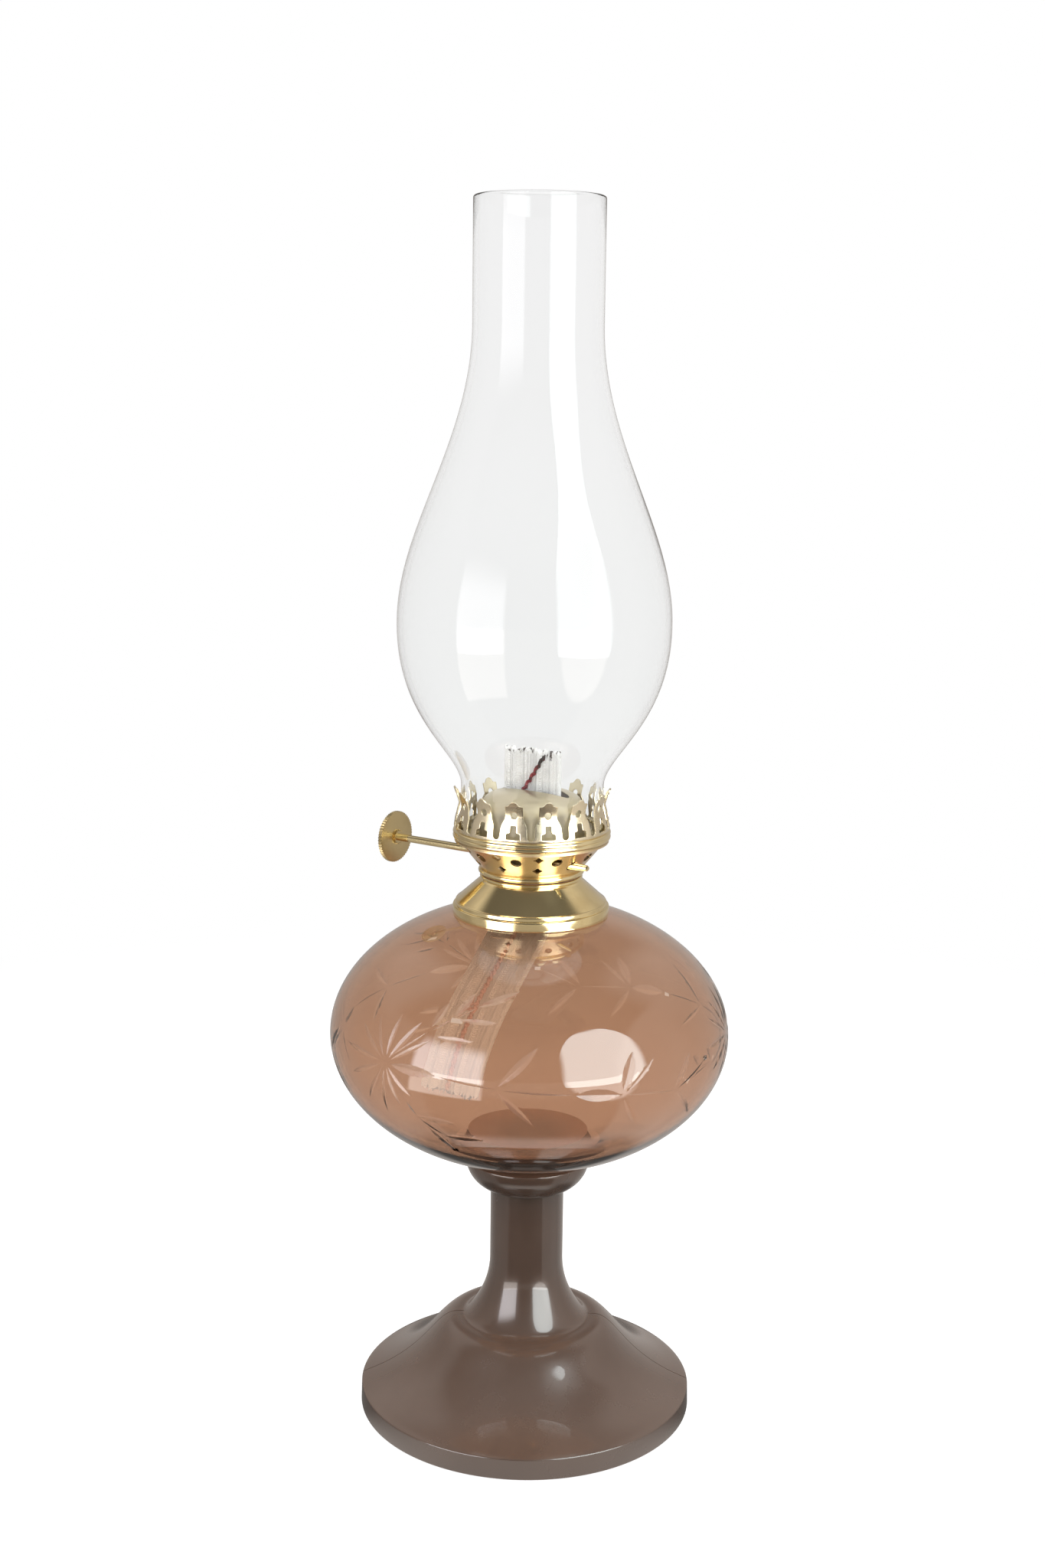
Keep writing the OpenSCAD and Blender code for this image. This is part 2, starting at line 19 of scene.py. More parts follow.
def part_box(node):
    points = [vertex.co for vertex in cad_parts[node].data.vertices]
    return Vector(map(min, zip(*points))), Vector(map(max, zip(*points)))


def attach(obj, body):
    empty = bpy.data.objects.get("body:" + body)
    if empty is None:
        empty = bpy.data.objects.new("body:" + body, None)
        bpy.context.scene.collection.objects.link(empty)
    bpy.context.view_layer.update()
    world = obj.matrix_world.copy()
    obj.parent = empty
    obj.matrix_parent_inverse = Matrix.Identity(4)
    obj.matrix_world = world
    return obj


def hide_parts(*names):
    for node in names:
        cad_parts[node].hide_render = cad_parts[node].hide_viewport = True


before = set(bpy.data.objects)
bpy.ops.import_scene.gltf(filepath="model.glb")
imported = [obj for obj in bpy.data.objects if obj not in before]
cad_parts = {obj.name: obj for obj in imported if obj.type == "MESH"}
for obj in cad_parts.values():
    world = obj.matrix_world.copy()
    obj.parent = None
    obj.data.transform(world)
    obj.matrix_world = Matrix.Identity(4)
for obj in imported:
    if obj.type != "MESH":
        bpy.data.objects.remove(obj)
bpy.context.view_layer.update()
scene = bpy.context.scene
MM = 0.001

# %% [markdown]
# ## The camera
# The photograph was taken from about the height of the chimney's neck, looking slightly down, with the
# raiser's knob on the left. The lamp leans a trifle in the picture, so the camera is rolled by the same
# amount, and it looks a touch to the left of the lamp because the lamp stands right of the middle.

# %% Camera
CAMERA_TURN = radians(33.4)
CAMERA_AWAY = 0.7328
CAMERA_UP = 0.3949
LOOK_DOWN = radians(11.346)
LOOK_LEFT = radians(0.29)
ROLL = radians(0.7)
FOCAL_LENGTH, SENSOR_WIDTH = 45.82, 36
to_camera = Vector((sin(CAMERA_TURN), -cos(CAMERA_TURN), 0))
to_right = Vector((cos(CAMERA_TURN), sin(CAMERA_TURN), 0))
lens = bpy.data.cameras.new("camera")
lens.lens = FOCAL_LENGTH
lens.sensor_width = SENSOR_WIDTH
camera = bpy.data.objects.new("camera", lens)
scene.collection.objects.link(camera)
scene.camera = camera
gaze = Matrix.Rotation(LOOK_LEFT, 3, "Z") @ -to_camera * cos(LOOK_DOWN)
gaze.z = -sin(LOOK_DOWN)
camera.location = to_camera * CAMERA_AWAY + Vector((0, 0, CAMERA_UP))
camera.rotation_mode = "QUATERNION"
camera.rotation_quaternion = gaze.to_track_quat("-Z", "Y") @ Quaternion((0, 0, 1), ROLL)
print("camera at", [round(c, 3) for c in camera.location])

# %% [markdown]
# ## Writing shader maths as sums
# A material is a net of nodes. Wiring every Math node by hand hides what is meant, so a small class
# holds one output and lets Python's own signs add the Math nodes. Everything else is made by one
# method that takes the node's type, its settings and what goes into its sockets.

# %% A finish and its wires
class Wire:
    """One output of a node. Sums on wires add Math nodes."""

    def __init__(self, finish, socket):
        self.finish, self.socket = finish, socket

    def maths(self, operation, first, second):
        return self.finish.node("ShaderNodeMath", {"operation": operation}, {0: first, 1: second})

    def __add__(self, other):
        return self.maths("ADD", self, other)

    def __sub__(self, other):
        return self.maths("SUBTRACT", self, other)

    def __rsub__(self, other):
        return self.maths("SUBTRACT", other, self)

    def __mul__(self, other):
        return self.maths("MULTIPLY", self, other)

    def __truediv__(self, other):
        return self.maths("DIVIDE", self, other)

    def __rtruediv__(self, other):
        return self.maths("DIVIDE", other, self)

    def __pow__(self, other):
        return self.maths("POWER", self, other)

    __radd__, __rmul__ = __add__, __mul__


class Finish:
    """The nodes of a material, of a lamp or of the world."""

    def __init__(self, owner):
        self.owner = owner
        owner.use_nodes = True
        self.tree = owner.node_tree
        self.tree.nodes.clear()

    def node(self, kind, settings=None, sockets=None, out=0):
        made = self.tree.nodes.new(kind)
        for key, value in (settings or {}).items():
            setattr(made, key, value)
        for key, value in (sockets or {}).items():
            if isinstance(value, Wire):
                self.tree.links.new(value.socket, made.inputs[key])
            else:
                made.inputs[key].default_value = value
        return Wire(self, made.outputs[out]) if made.outputs else None

    def place(self):
        return self.node("ShaderNodeTexCoord", out="Object")

    def parts(self, vector):
        return [self.node("ShaderNodeSeparateXYZ", None, {0: vector}, out=k) for k in range(3)]

    def noise(self, vector, scale, detail):
        return self.node("ShaderNodeTexNoise", None,
                         {"Vector": vector, "Scale": scale, "Detail": detail}, out="Fac")

    def fade(self, value, low, high):
        """0 below low and 1 above high, eased between."""
        return self.node("ShaderNodeMapRange", {"interpolation_type": "SMOOTHSTEP"},
                         {"Value": value, "From Min": low, "From Max": high})

    def blend(self, factor, first, second):
        return self.node("ShaderNodeMix", {"data_type": "RGBA"}, {0: factor, 6: first, 7: second}, out=2)

    def relief(self, height, depth, under=None):
        """A bump of the given depth in metres."""
        sockets = {"Height": height, "Distance": depth, "Strength": 1.0}
        if under:
            sockets["Normal"] = under
        return self.node("ShaderNodeBump", None, sockets)

    def coat(self, **sockets):
        named = {key.replace("_", " ").title().replace("Ior", "IOR"): value
                 for key, value in sockets.items()}
        return self.node("ShaderNodeBsdfPrincipled", None, named)

    def done(self, shader):
        kinds = {bpy.types.World: "World", bpy.types.AreaLight: "Light"}
        self.node("ShaderNodeOutput" + kinds.get(type(self.owner), "Material"), None, {"Surface": shader})
        return self.owner


def finish(name):
    return Finish(bpy.data.materials.new(name))


print("finishes are ready")

# %% [markdown]
# ## Light, room and floor
# The lamp was photographed before white, between two soft boxes that stand in front of it on either
# side. Their shapes show on the font and on the foot. Rays that the camera sends past the lamp or
# through its glass meet pure white. Rays that mirror off brass and gloss meet a slightly warm room:
# pale panels at both sides, a pale backdrop that brightens upwards, and dimness in front and overhead,
# because that contrast is what makes metal look like metal. Dull surfaces get an even fill and a broad
# key light from above, on the camera's side.

# %% World
def direct(f):
    """1 for rays straight from the camera or through glass."""
    from_camera = f.node("ShaderNodeLightPath", out="Is Camera Ray")
    through_glass = f.node("ShaderNodeLightPath", out="Is Transmission Ray")
    return from_camera.maths("MAXIMUM", from_camera, through_glass)


def along_way(f, vector, way):
    """How far a vector goes along a fixed direction."""
    return f.node("ShaderNodeVectorMath", {"operation": "DOT_PRODUCT"}, {0: vector, 1: way}, "Value")


def toward(level, goal, share):
    """A level that has gone a share of the way to a goal."""
    return level + share * (goal - level)


def panels(f, level, aside):
    """A level with a pale panel let in at either side."""
    level = toward(level, RIGHT_PANEL, f.fade(aside, *RIGHT_EDGE))
    return toward(level, LEFT_PANEL, f.fade(0 - aside, *LEFT_EDGE))


ROOM, LEFT_PANEL, RIGHT_PANEL, CEILING, ZENITH = 0.14, 0.48, 0.75, 0.75, 0.2
BACK, BACK_SLOPE = 0.47, 0.1
FILL, KEY, BOUNCE = 0.3, 2.3, 0.16
WHITE, MIRROR_TONE = (1, 1, 1, 1), (1, 0.93, 0.87, 1)
LEFT_EDGE, RIGHT_EDGE, BACK_EDGE, KEY_EDGE = (0.8, 0.87), (0.72, 0.78), (0.0, 0.3), (0.35, 0.9)
CEILING_EDGE, HORIZON, ZENITH_EDGE = (0.1, 0.25), (0.3, 0.6), (0.84, 0.94)
KEY_NEAR, KEY_UP = 0.35, 0.94
key_way = (to_camera * KEY_NEAR + Vector((0, 0, KEY_UP))).normalized()
room = Finish(bpy.data.worlds.new("studio"))
scene.world = room.owner
seen, shiny = direct(room), room.node("ShaderNodeLightPath", out="Is Glossy Ray")
look = room.node("ShaderNodeTexCoord", out="Generated")
up, aside = room.parts(look)[2], along_way(room, look, to_right)
behind = room.fade(0 - along_way(room, look, to_camera), *BACK_EDGE)
overhead = toward(ZENITH, CEILING, room.fade(aside * aside, *CEILING_EDGE))
backdrop = toward(BACK + BACK_SLOPE * aside, overhead, room.fade(up, *HORIZON))
mirrored = toward(panels(room, ROOM, aside), backdrop, behind)
mirrored = toward(mirrored, ZENITH, room.fade(up, *ZENITH_EDGE))
fill = toward(FILL, KEY, room.fade(along_way(room, look, key_way), *KEY_EDGE))
shown = toward(toward(fill, mirrored, shiny), 1, seen)
tone = room.blend((1 - seen) * shiny, WHITE, MIRROR_TONE)
room.done(room.node("ShaderNodeBackground", None, {"Color": tone, "Strength": shown}))
scene.view_settings.view_transform = "Standard"
print("mirrors meet: room", ROOM, "panels", LEFT_PANEL, RIGHT_PANEL, "backdrop", BACK, "to", CEILING)

# %% [markdown]
# The soft boxes are area lamps. The cloth of a real box lets less light through near its frame, so
# their light fades towards the edges. They are there to be mirrored: rays that go straight through
# glass miss them, and dull surfaces take their light from the world.

# %% Soft boxes
def beside_camera(turn):
    """The level way to the camera, turned to the right."""
    return to_camera * cos(turn) + to_right * sin(turn)


def soft_box(name, turn, height, shape, size, watts, tint, soft):
    """A lamp beside the camera. Its light fades out over the soft share of each edge."""
    lamp = bpy.data.lights.new(name, "AREA")
    lamp.shape, (lamp.size, lamp.size_y), lamp.energy, lamp.color = shape, size, watts, tint
    cloth = Finish(lamp)
    u, v, _ = cloth.parts(cloth.node("ShaderNodeNewGeometry", out="Parametric"))
    level = 1.0
    for way, width in zip((u, 1 - u, v, 1 - v), soft):
        level = cloth.fade(way, 0, width) * level
    cloth.done(cloth.node("ShaderNodeEmission", None, {"Strength": level}))
    box = bpy.data.objects.new(name, lamp)
    scene.collection.objects.link(box)
    side = beside_camera(turn)
    box.location = side * BOX_AWAY + Vector((0, 0, height))
    box.rotation_euler = side.to_track_quat("Z", "Y").to_euler()
    box.visible_camera = box.visible_diffuse = box.visible_transmission = False


BOX_AWAY = 1.1
LEFT_TURN, RIGHT_TURN = BOX_TURNS = radians(-45), radians(42)
soft_box("soft_box_left", LEFT_TURN, height=0.47, shape="RECTANGLE", size=(0.9, 0.9), watts=15.5,
         tint=(0.97, 0.96, 1), soft=(0.1, 0.1, 0.02, 0.4))
soft_box("soft_box_right", RIGHT_TURN, height=0.48, shape="ELLIPSE", size=(1.05, 1.85), watts=35,
         tint=(0.92, 1, 1), soft=(0.1, 0.1, 0.06, 0.06))
print("lamps:", len(bpy.data.lights), "at", BOX_AWAY, "m")

# %% [markdown]
# The floor is a wide disc of white paper. To the camera it glows as white as the background, and near
# the lamp a part of it takes real light, which keeps the lamp's shadow. Mirrored rays meet a dim table
# with the room's panels, a pale patch in front of the foot, and the soft boxes' own images, as a
# polished table gives them. Those images complete the windows on the font below its middle.

# %% Floor
FLOOR_REACH, FLOOR_DROP = 9.0, 0.2
disc = bmesh.new()
bmesh.ops.create_circle(disc, cap_ends=True, segments=96, radius=FLOOR_REACH)
bmesh.ops.translate(disc, verts=disc.verts, vec=(0, 0, -FLOOR_DROP * MM))
floor_mesh = bpy.data.meshes.new("floor")
disc.to_mesh(floor_mesh)
disc.free()
floor = bpy.data.objects.new("floor", floor_mesh)
scene.collection.objects.link(floor)
print("floor disc of", FLOOR_REACH, "m")

# %% Paper
PAPER = (0.86, 0.86, 0.86, 1)
NEAR_SHARE, NEAR_WHITE, NEAR_FRONT, NEAR_SIDE, TABLE_FAR = 0.45, 1.4, 1.35, 0.14, 0.48
NEAR_EDGE, FAR_EDGE, FOOT_EDGE, FRONT_EDGE = (0.12, 0.7), (0.4, 0.55), (0.085, 0.12), (0.2, 0.85)
SPILL, SPILL_EDGE, FACING_EDGE, EYE_Z, EYE_R = 4.0, (0.24, 0.28), (0.3, 0.5), 0.13, 0.07
LEFT_SIDES, LEFT_END = (0.11, 0.14), (0.4, 0.45)
RIGHT_HALF_W, RIGHT_HALF_H, RIGHT_SINK, RIGHT_RIM = 0.41, 0.73, 0.24, (0.8, 1.05)
paper = finish("paper_floor")
ground = paper.place()
spot = paper.node("ShaderNodeVectorMath", {"operation": "LENGTH"}, {0: ground}, "Value")
way = paper.node("ShaderNodeVectorMath", {"operation": "NORMALIZE"}, {0: ground})
seen, shiny = direct(paper), paper.node("ShaderNodeLightPath", out="Is Glossy Ray")
near = 1 - paper.fade(spot, *NEAR_EDGE)
aside, ahead = along_way(paper, way, to_right), along_way(paper, way, to_camera)
table = panels(paper, toward(ROOM, TABLE_FAR, paper.fade(spot, *FAR_EDGE)), aside)
table = toward(table, BACK + BACK_SLOPE * aside, paper.fade(0 - ahead, *BACK_EDGE))
around = toward(NEAR_SIDE, NEAR_FRONT, paper.fade(ahead, *FRONT_EDGE))
table = toward(around, table, paper.fade(spot, *FOOT_EDGE))
drop = EYE_Z / (spot - EYE_R)
facing = [paper.fade(along_way(paper, way, beside_camera(turn)), *FACING_EDGE) for turn in BOX_TURNS]
across = [along_way(paper, way, beside_camera(turn + pi / 2)) for turn in BOX_TURNS]
left_image = (1 - paper.fade(across[0] ** 2, *LEFT_SIDES)) * (1 - paper.fade(drop, *LEFT_END))
right_oval = (across[1] / RIGHT_HALF_W) ** 2 + ((drop + RIGHT_SINK) / RIGHT_HALF_H) ** 2
images = facing[0] * left_image + facing[1] * (1 - paper.fade(right_oval, *RIGHT_RIM))
table = table + SPILL * images * paper.fade(spot, *SPILL_EDGE)
glow = toward(toward(BOUNCE, table, shiny), toward(1, NEAR_WHITE, near), seen)
tone = paper.blend((1 - seen) * shiny, WHITE, MIRROR_TONE)
lit = paper.node("ShaderNodeBsdfDiffuse", None, {"Color": PAPER})
shine = paper.node("ShaderNodeEmission", None, {"Color": tone, "Strength": glow})
share = 1 - seen * near * NEAR_SHARE
floor_mesh.materials.append(paper.done(paper.node("ShaderNodeMixShader", None, {0: share, 1: lit, 2: shine})))
print("paper:", paper.owner.name, "share of real light near the lamp:", NEAR_SHARE)

# %% [markdown]
# ## The finishes
# Brass that was lacquered long ago is bright on its turned faces, browner in patches, and marked by
# fine rings from the lathe. The rings come from noise that only looks at radius and height, so they
# run round the axis on every turned piece. The collar's cone mirrors the room a little further out than
# a plain cone would, so its finish has a bump that climbs with height and tips the mirror image.

# %% Brass
def brass(name, bright, stained, rough, rings, lean=(0, 1, 0)):
    """lean is two heights in millimetres, between which the mirror image is tipped, and the slope."""
    f = finish(name)
    place = f.place()
    x, y, z = f.parts(place)
    radius = (x * x + y * y) ** 0.5
    turned_place = f.node("ShaderNodeCombineXYZ", None, {0: radius, 1: z})
    marks = f.noise(turned_place, scale=2600, detail=2)
    cloud = f.noise(place, scale=90, detail=4)
    specks = f.fade(f.noise(place, scale=1100, detail=2), 0.68, 0.78)
    stain = f.fade(cloud, 0.45, 0.8) * 0.5 + specks * 0.3
    low, high, slope = lean
    steps = f.node("ShaderNodeClamp", None, {"Value": z, "Min": low * MM, "Max": high * MM})
    normal = f.relief(marks * rings + cloud + steps * (slope / MARK_DEPTH), MARK_DEPTH)
    shader = f.coat(base_color=f.blend(stain, bright, stained), metallic=1.0,
                    roughness=rough + stain * 0.14 + marks * 0.05, normal=normal)
    return f.done(shader)


MARK_DEPTH = 0.006 * MM
COLLAR_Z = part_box("collar")[0].z / MM
CONE_LEAN = (COLLAR_Z + 5.6, COLLAR_Z + 13.3, 0.28)
BRASS = brass("lacquered_brass", (0.83, 0.70, 0.41, 1), (0.60, 0.46, 0.23, 1), 0.09, 1.0)
SPUN_BRASS = brass("spun_brass", (0.84, 0.69, 0.38, 1), (0.60, 0.45, 0.21, 1), 0.09, 1.0, CONE_LEAN)
SHEET_BRASS = brass("pressed_brass", (0.82, 0.72, 0.52, 1), (0.60, 0.50, 0.31, 1), 0.2, 0.3)
WARM_BRASS = brass("warm_brass", (0.80, 0.63, 0.41, 1), (0.54, 0.40, 0.22, 1), 0.2, 0.3)
DULL_BRASS = brass("satin_brass", (0.58, 0.505, 0.35, 1), (0.42, 0.35, 0.23, 1), 0.27, 0.5)
KNOB_BRASS = brass("handled_brass", (0.58, 0.465, 0.25, 1), (0.40, 0.30, 0.15, 1), 0.27, 0.5)
INNER_BRASS = brass("dark_brass", (0.50, 0.38, 0.20, 1), (0.18, 0.13, 0.08, 1), 0.34, 0.4)
print("brass:", [m.name for m in bpy.data.materials if m.name.endswith("brass")])

# %% [markdown]
# The foot is moulded in one piece and glossy, a dark rose taupe. Moulding leaves the skin very
# slightly wavy, which softens the edges of mirrored windows, and handling leaves it a little duller in
# patches.

# %% Moulding
def moulding():
    f = finish("taupe_moulding")
    place = f.place()
    cloud = f.noise(place, scale=26, detail=4)
    grain = f.noise(place, scale=1400, detail=2)
    tint = f.blend(f.fade(cloud, 0.3, 0.7), (0.098, 0.061, 0.044, 1), (0.116, 0.074, 0.054, 1))
    handled = f.fade(cloud, 0.45, 0.75)
    waves = f.relief(f.noise(place, scale=60, detail=2), 0.06 * MM)
    return f.done(f.coat(base_color=tint, roughness=0.2 + handled * 0.1 + grain * 0.04, ior=1.45,
                         coat_weight=0.8, coat_roughness=0.03, normal=f.relief(grain, 0.006 * MM, waves)))


MOULDING = moulding()
print("moulding:", MOULDING.name)

# %% [markdown]
# Glass is a clear solid that bends light, so both of its walls are modelled and the shader does the
# rest. The shader tints light where it crosses a face, so the font has its tint on the outer faces
# alone: with tinted inner faces its middle, where light crosses four, would be darker than its rim,
# where light crosses two. Light for the pieces inside would be lost, because a path tracer rarely
# finds a light through a lens, so rays towards the lights pass straight through with a faint cast.
# Hand-blown glass is never quite even, which a faint ripple gives.

# %% Glass
def glass(name, heights, tints, cast, ripple, ripple_scale, gloss, ior, stretch=1, rough=0.0):
    """The tint goes from the first to the second between two heights in millimetres."""
    f = finish(name)
    place = f.place()
    colour = f.blend(f.fade(f.parts(place)[2], *(h * MM for h in heights)), *tints)
    drawn = f.node("ShaderNodeMapping", None, {"Vector": place, "Scale": (1, 1, stretch)})
    normal = f.relief(f.noise(drawn, ripple_scale, detail=1), ripple)
    body = f.coat(base_color=colour, roughness=rough, ior=ior, transmission_weight=1.0, coat_weight=gloss,
                  coat_roughness=0.0, normal=normal)
    through = f.node("ShaderNodeBsdfTransparent", None, {"Color": cast})
    lamp_ray = f.node("ShaderNodeLightPath", out="Is Shadow Ray")
    return f.done(f.node("ShaderNodeMixShader", None, {0: lamp_ray, 1: body, 2: through}))


FONT_SPAN, FONT_CAST, FONT_IOR = (104, 190), (0.92, 0.86, 0.8, 1), 1.46
FONT_GLASS = glass("rose_brown_glass", FONT_SPAN, ((0.35, 0.178, 0.103, 1), (0.372, 0.194, 0.109, 1)),
                   FONT_CAST, ripple=0.1 * MM, ripple_scale=22, gloss=0.55, ior=FONT_IOR)
INNER_GLASS = glass("inner_glass", FONT_SPAN, (WHITE, WHITE),
                    WHITE, ripple=0.1 * MM, ripple_scale=22, gloss=0.0, ior=FONT_IOR)
CUT_GLASS = glass("wheel_cut_glass", FONT_SPAN, ((0.42, 0.225, 0.14, 1), (0.46, 0.26, 0.165, 1)),
                  FONT_CAST, ripple=0.05 * MM, ripple_scale=900, gloss=0.3, ior=FONT_IOR, rough=0.24)
CHIMNEY_GLASS = glass("clear_glass", (230, 460), ((0.935, 0.94, 0.937, 1), (0.945, 0.945, 0.945, 1)),
                      (0.97, 0.97, 0.97, 1), ripple=0.2 * MM, ripple_scale=30, gloss=0.0, ior=1.32,
                      stretch=0.25)
print("glass:", FONT_GLASS.name, INNER_GLASS.name, CUT_GLASS.name, CHIMNEY_GLASS.name)

# %% [markdown]
# The hidden pieces have finishes of their own: chalky plaster with pores, a fibre gasket with flecks,
# and bare steel on the toothed wheels. The plaster that the font is bedded on shows through the glass,
# warmer and smoother than the rest, and its middle is darkened with painted shade.

# %% Plaster, gasket and steel
def chalky(name, pale, dark, scale, depth):
    f = finish(name)
    place = f.place()
    grain = f.noise(place, scale, detail=4)
    pores = f.fade(f.noise(place, scale * 2.2, detail=2), 0.58, 0.7)
    normal = f.relief(grain - pores * 0.5, depth)
    return f.done(f.coat(base_color=f.blend(f.fade(grain, 0.35, 0.7) * 0.7 + pores * 0.3, pale, dark),
                         roughness=0.85 + grain * 0.1, normal=normal))


def steel():
    f = finish("bare_steel")
    place = f.place()
    streak = f.noise(place, scale=1100, detail=3)
    rust = f.fade(f.noise(place, scale=380, detail=4), 0.55, 0.75)
    return f.done(f.coat(base_color=f.blend(rust, (0.52, 0.50, 0.46, 1), (0.24, 0.14, 0.08, 1)),
                         metallic=1 - rust * 0.5, roughness=0.3 + streak * 0.2 + rust * 0.25,
                         normal=f.relief(streak, 0.02 * MM)))


def bedding():
    """Plaster that glass is set in, with painted shade that darkens its middle."""
    f = finish("bedding_plaster")
    place = f.place()
    x, y, _ = f.parts(place)
    radius = (x * x + y * y) ** 0.5
    grain = f.noise(place, scale=260, detail=4)
    # Painted shade: the bedding darkens towards its middle, under the font.
    out_of_painted_shade = f.fade(radius + grain * 6 * MM, 9 * MM, 26 * MM)
    tint = f.blend(out_of_painted_shade, (0.46, 0.34, 0.28, 1), (0.58, 0.38, 0.29, 1))
    return f.done(f.coat(base_color=tint, roughness=0.9, normal=f.relief(grain, 0.1 * MM)))


BEDDING = bedding()
PLASTER = chalky("plaster", (0.74, 0.71, 0.65, 1), (0.52, 0.48, 0.42, 1), 420, 0.2 * MM)
GASKET = chalky("fibre_gasket", (0.25, 0.13, 0.07, 1), (0.12, 0.06, 0.035, 1), 900, 0.08 * MM)
STEEL = steel()
print("hidden finishes:", PLASTER.name, BEDDING.name, GASKET.name, STEEL.name)

# %% [markdown]
# ## Turning a piece
# An outline is a row of (radius, height) points. Straight runs are just points, and rounded runs come
# from an arc or a Bezier curve. Spinning the outline once round the axis gives the piece, merging
# closes the seam and the poles, and the normals are set right afterwards.

# %% Outline and spin
def curve(start, out_of, into, end, count=24):
    corners = [Vector((*p, 0)) for p in (start, out_of, into, end)]
    return [(p.x, p.y) for p in interpolate_bezier(*corners, count)]


def arc(middle, radius, start, stop, count=8):
    turns = [radians(start + (stop - start) * k / (count - 1)) for k in range(count)]
    return [(middle[0] + radius * cos(t), middle[1] + radius * sin(t)) for t in turns]


def beside(points, gap):
    """The same outline moved to its left by the gap."""
    moved = []
    for k, (r, z) in enumerate(points):
        before, after = points[max(k - 1, 0)], points[min(k + 1, len(points) - 1)]
        along = Vector((after[0] - before[0], after[1] - before[1])).normalized()
        moved.append((r - gap * along.y, z + gap * along.x))
    return moved


def spun(outline, closed=True, steps=128, bm=None):
    bm = bm or bmesh.new()
    points = [bm.verts.new((r * MM, 0, z * MM)) for r, z in outline]
    follow = points[1:] + points[:1] if closed else points[1:]
    edges = [bm.edges.new(pair) for pair in zip(points, follow)]
    bmesh.ops.spin(bm, geom=points + edges, cent=(0, 0, 0), axis=(0, 0, 1), dvec=(0, 0, 0),
                   angle=2 * pi, steps=steps, use_merge=True)
    bmesh.ops.remove_doubles(bm, verts=bm.verts, dist=MERGE * MM)
    bmesh.ops.recalc_face_normals(bm, faces=bm.faces)
    return bm


MERGE = 0.001
print("points closer than", MERGE, "mm are merged after a spin")

# %% [markdown]
# A finished bmesh becomes an object that rides on one of the lamp's bodies and stands for packed
# solids. Smooth shading hides the facets, and edges sharper than the crease angle stay hard.

# %% A piece that rides
def soften(bm, crease):
    """Smooth shading, with a hard edge wherever two faces meet at more than the crease angle."""
    for face in bm.faces:
        face.smooth = True
    for edge in bm.edges:
        edge.smooth = edge.calc_face_angle(0) < radians(crease)


def piece(bm, name, body, material, slot, *nodes, crease=32):
    """Turns a bmesh into a piece that rides on a body and stands for CAD nodes."""
    soften(bm, crease)
    mesh = bpy.data.meshes.new(name)
    bm.to_mesh(mesh)
    bm.free()
    mesh.materials.append(material)
    made = bpy.data.objects.new(name, mesh)
    scene.collection.objects.link(made)
    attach(made, body)
    if nodes:
        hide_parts(*nodes)
    print(name, "faces:", len(mesh.polygons))
    return made


def fresh_verts(grown):
    """The new vertices among what an extrude gives back."""
    return [g for g in grown["geom"] if isinstance(g, bmesh.types.BMVert)]


# %% [markdown]
# ## The foot, stem and cup
# The foot, the stem and the cup are one moulding, hollow underneath. Its outline is an upright rim, a
# bell that sweeps up to a small shelf, a flare into the plain stem, and a cup that opens under the
# font. Inside the cup is a socket for the font's peg.

# %% Pedestal
FOOT_R, RIM_H, FOOT_WALL, SHELF_R, SHELF_Z, STEM_R = 64.7, 8.4, 3.2, 26.6, 35.0, 14.2
FLARE_H, FLARE_OUT, FLARE_SHORT = 24.5, 9.8, 4
CUP_ROUND, CUP_Z, SOCKET_R, SOCKET_Z = 12.0, 101.0, 16.2, 90.8
HOLLOW_R, HOLLOW_LOW, HOLLOW_TOP = 10.2, 44.0, 84.8
FLARE_ARC = (FLARE_H ** 2 + FLARE_OUT ** 2) / 2 / FLARE_OUT
FLARE_START = 180 - FLARE_SHORT + degrees(asin(FLARE_H / FLARE_ARC))
CUP_START = -degrees(acos((STEM_R - CUP_ROUND) / CUP_ROUND))
rim = [(FOOT_R - 0.5, 0)] + arc((FOOT_R - 0.4, 0.4), 0.4, -60, 0, 4) + [(FOOT_R - 0.2, RIM_H - 1.1)] \
    + arc((FOOT_R - 0.9, RIM_H - 0.8), 0.7, 10, 62, 6)
bell = curve((FOOT_R - 0.8, RIM_H), (37.7, 18.9), (36.2, SHELF_Z), (SHELF_R, SHELF_Z), 48)
flare = arc((STEM_R + FLARE_ARC, SHELF_Z + FLARE_H), FLARE_ARC, FLARE_START, 180, 24)
fillet = curve((SHELF_R - 1.4, SHELF_Z), (SHELF_R - 2.3, SHELF_Z), (SHELF_R - 3.2, SHELF_Z + 0.7),
               flare[0], 10)
cup = arc((CUP_ROUND, CUP_Z - 0.3), CUP_ROUND, CUP_START, 0, 20)
lip = [(2 * CUP_ROUND - 0.05, CUP_Z - 0.05), (2 * CUP_ROUND - 0.25, CUP_Z + 0.05),
       (SOCKET_R + 0.4, CUP_Z + 1.75), (SOCKET_R, CUP_Z + 1.6)]
socket = [(SOCKET_R, SOCKET_Z), (0, SOCKET_Z)]
under = [(0, HOLLOW_TOP), (HOLLOW_R, HOLLOW_TOP), (HOLLOW_R, HOLLOW_LOW)] \
    + [(r - FOOT_WALL, z - FOOT_WALL) for r, z in reversed(bell)] \
    + [(FOOT_R - FOOT_WALL - 0.3, 4.3), (FOOT_R - FOOT_WALL, 0)]
outside = rim + bell[1:] + fillet[:-1] + flare + cup + lip
pedestal_bm = spun(under + outside + socket, closed=False, steps=160)
pedestal = piece(pedestal_bm, "pedestal_moulding", "lamp", MOULDING, "moulding", "pedestal")

# %% [markdown]
# ## Cutting into a piece
# Mould lines, wheel cuts and a slot are cut into finished pieces. A Boolean modifier could stay live,
# but then the tool would have to stay in the scene too. So the result is kept as the piece's mesh and
# the tool is thrown away.

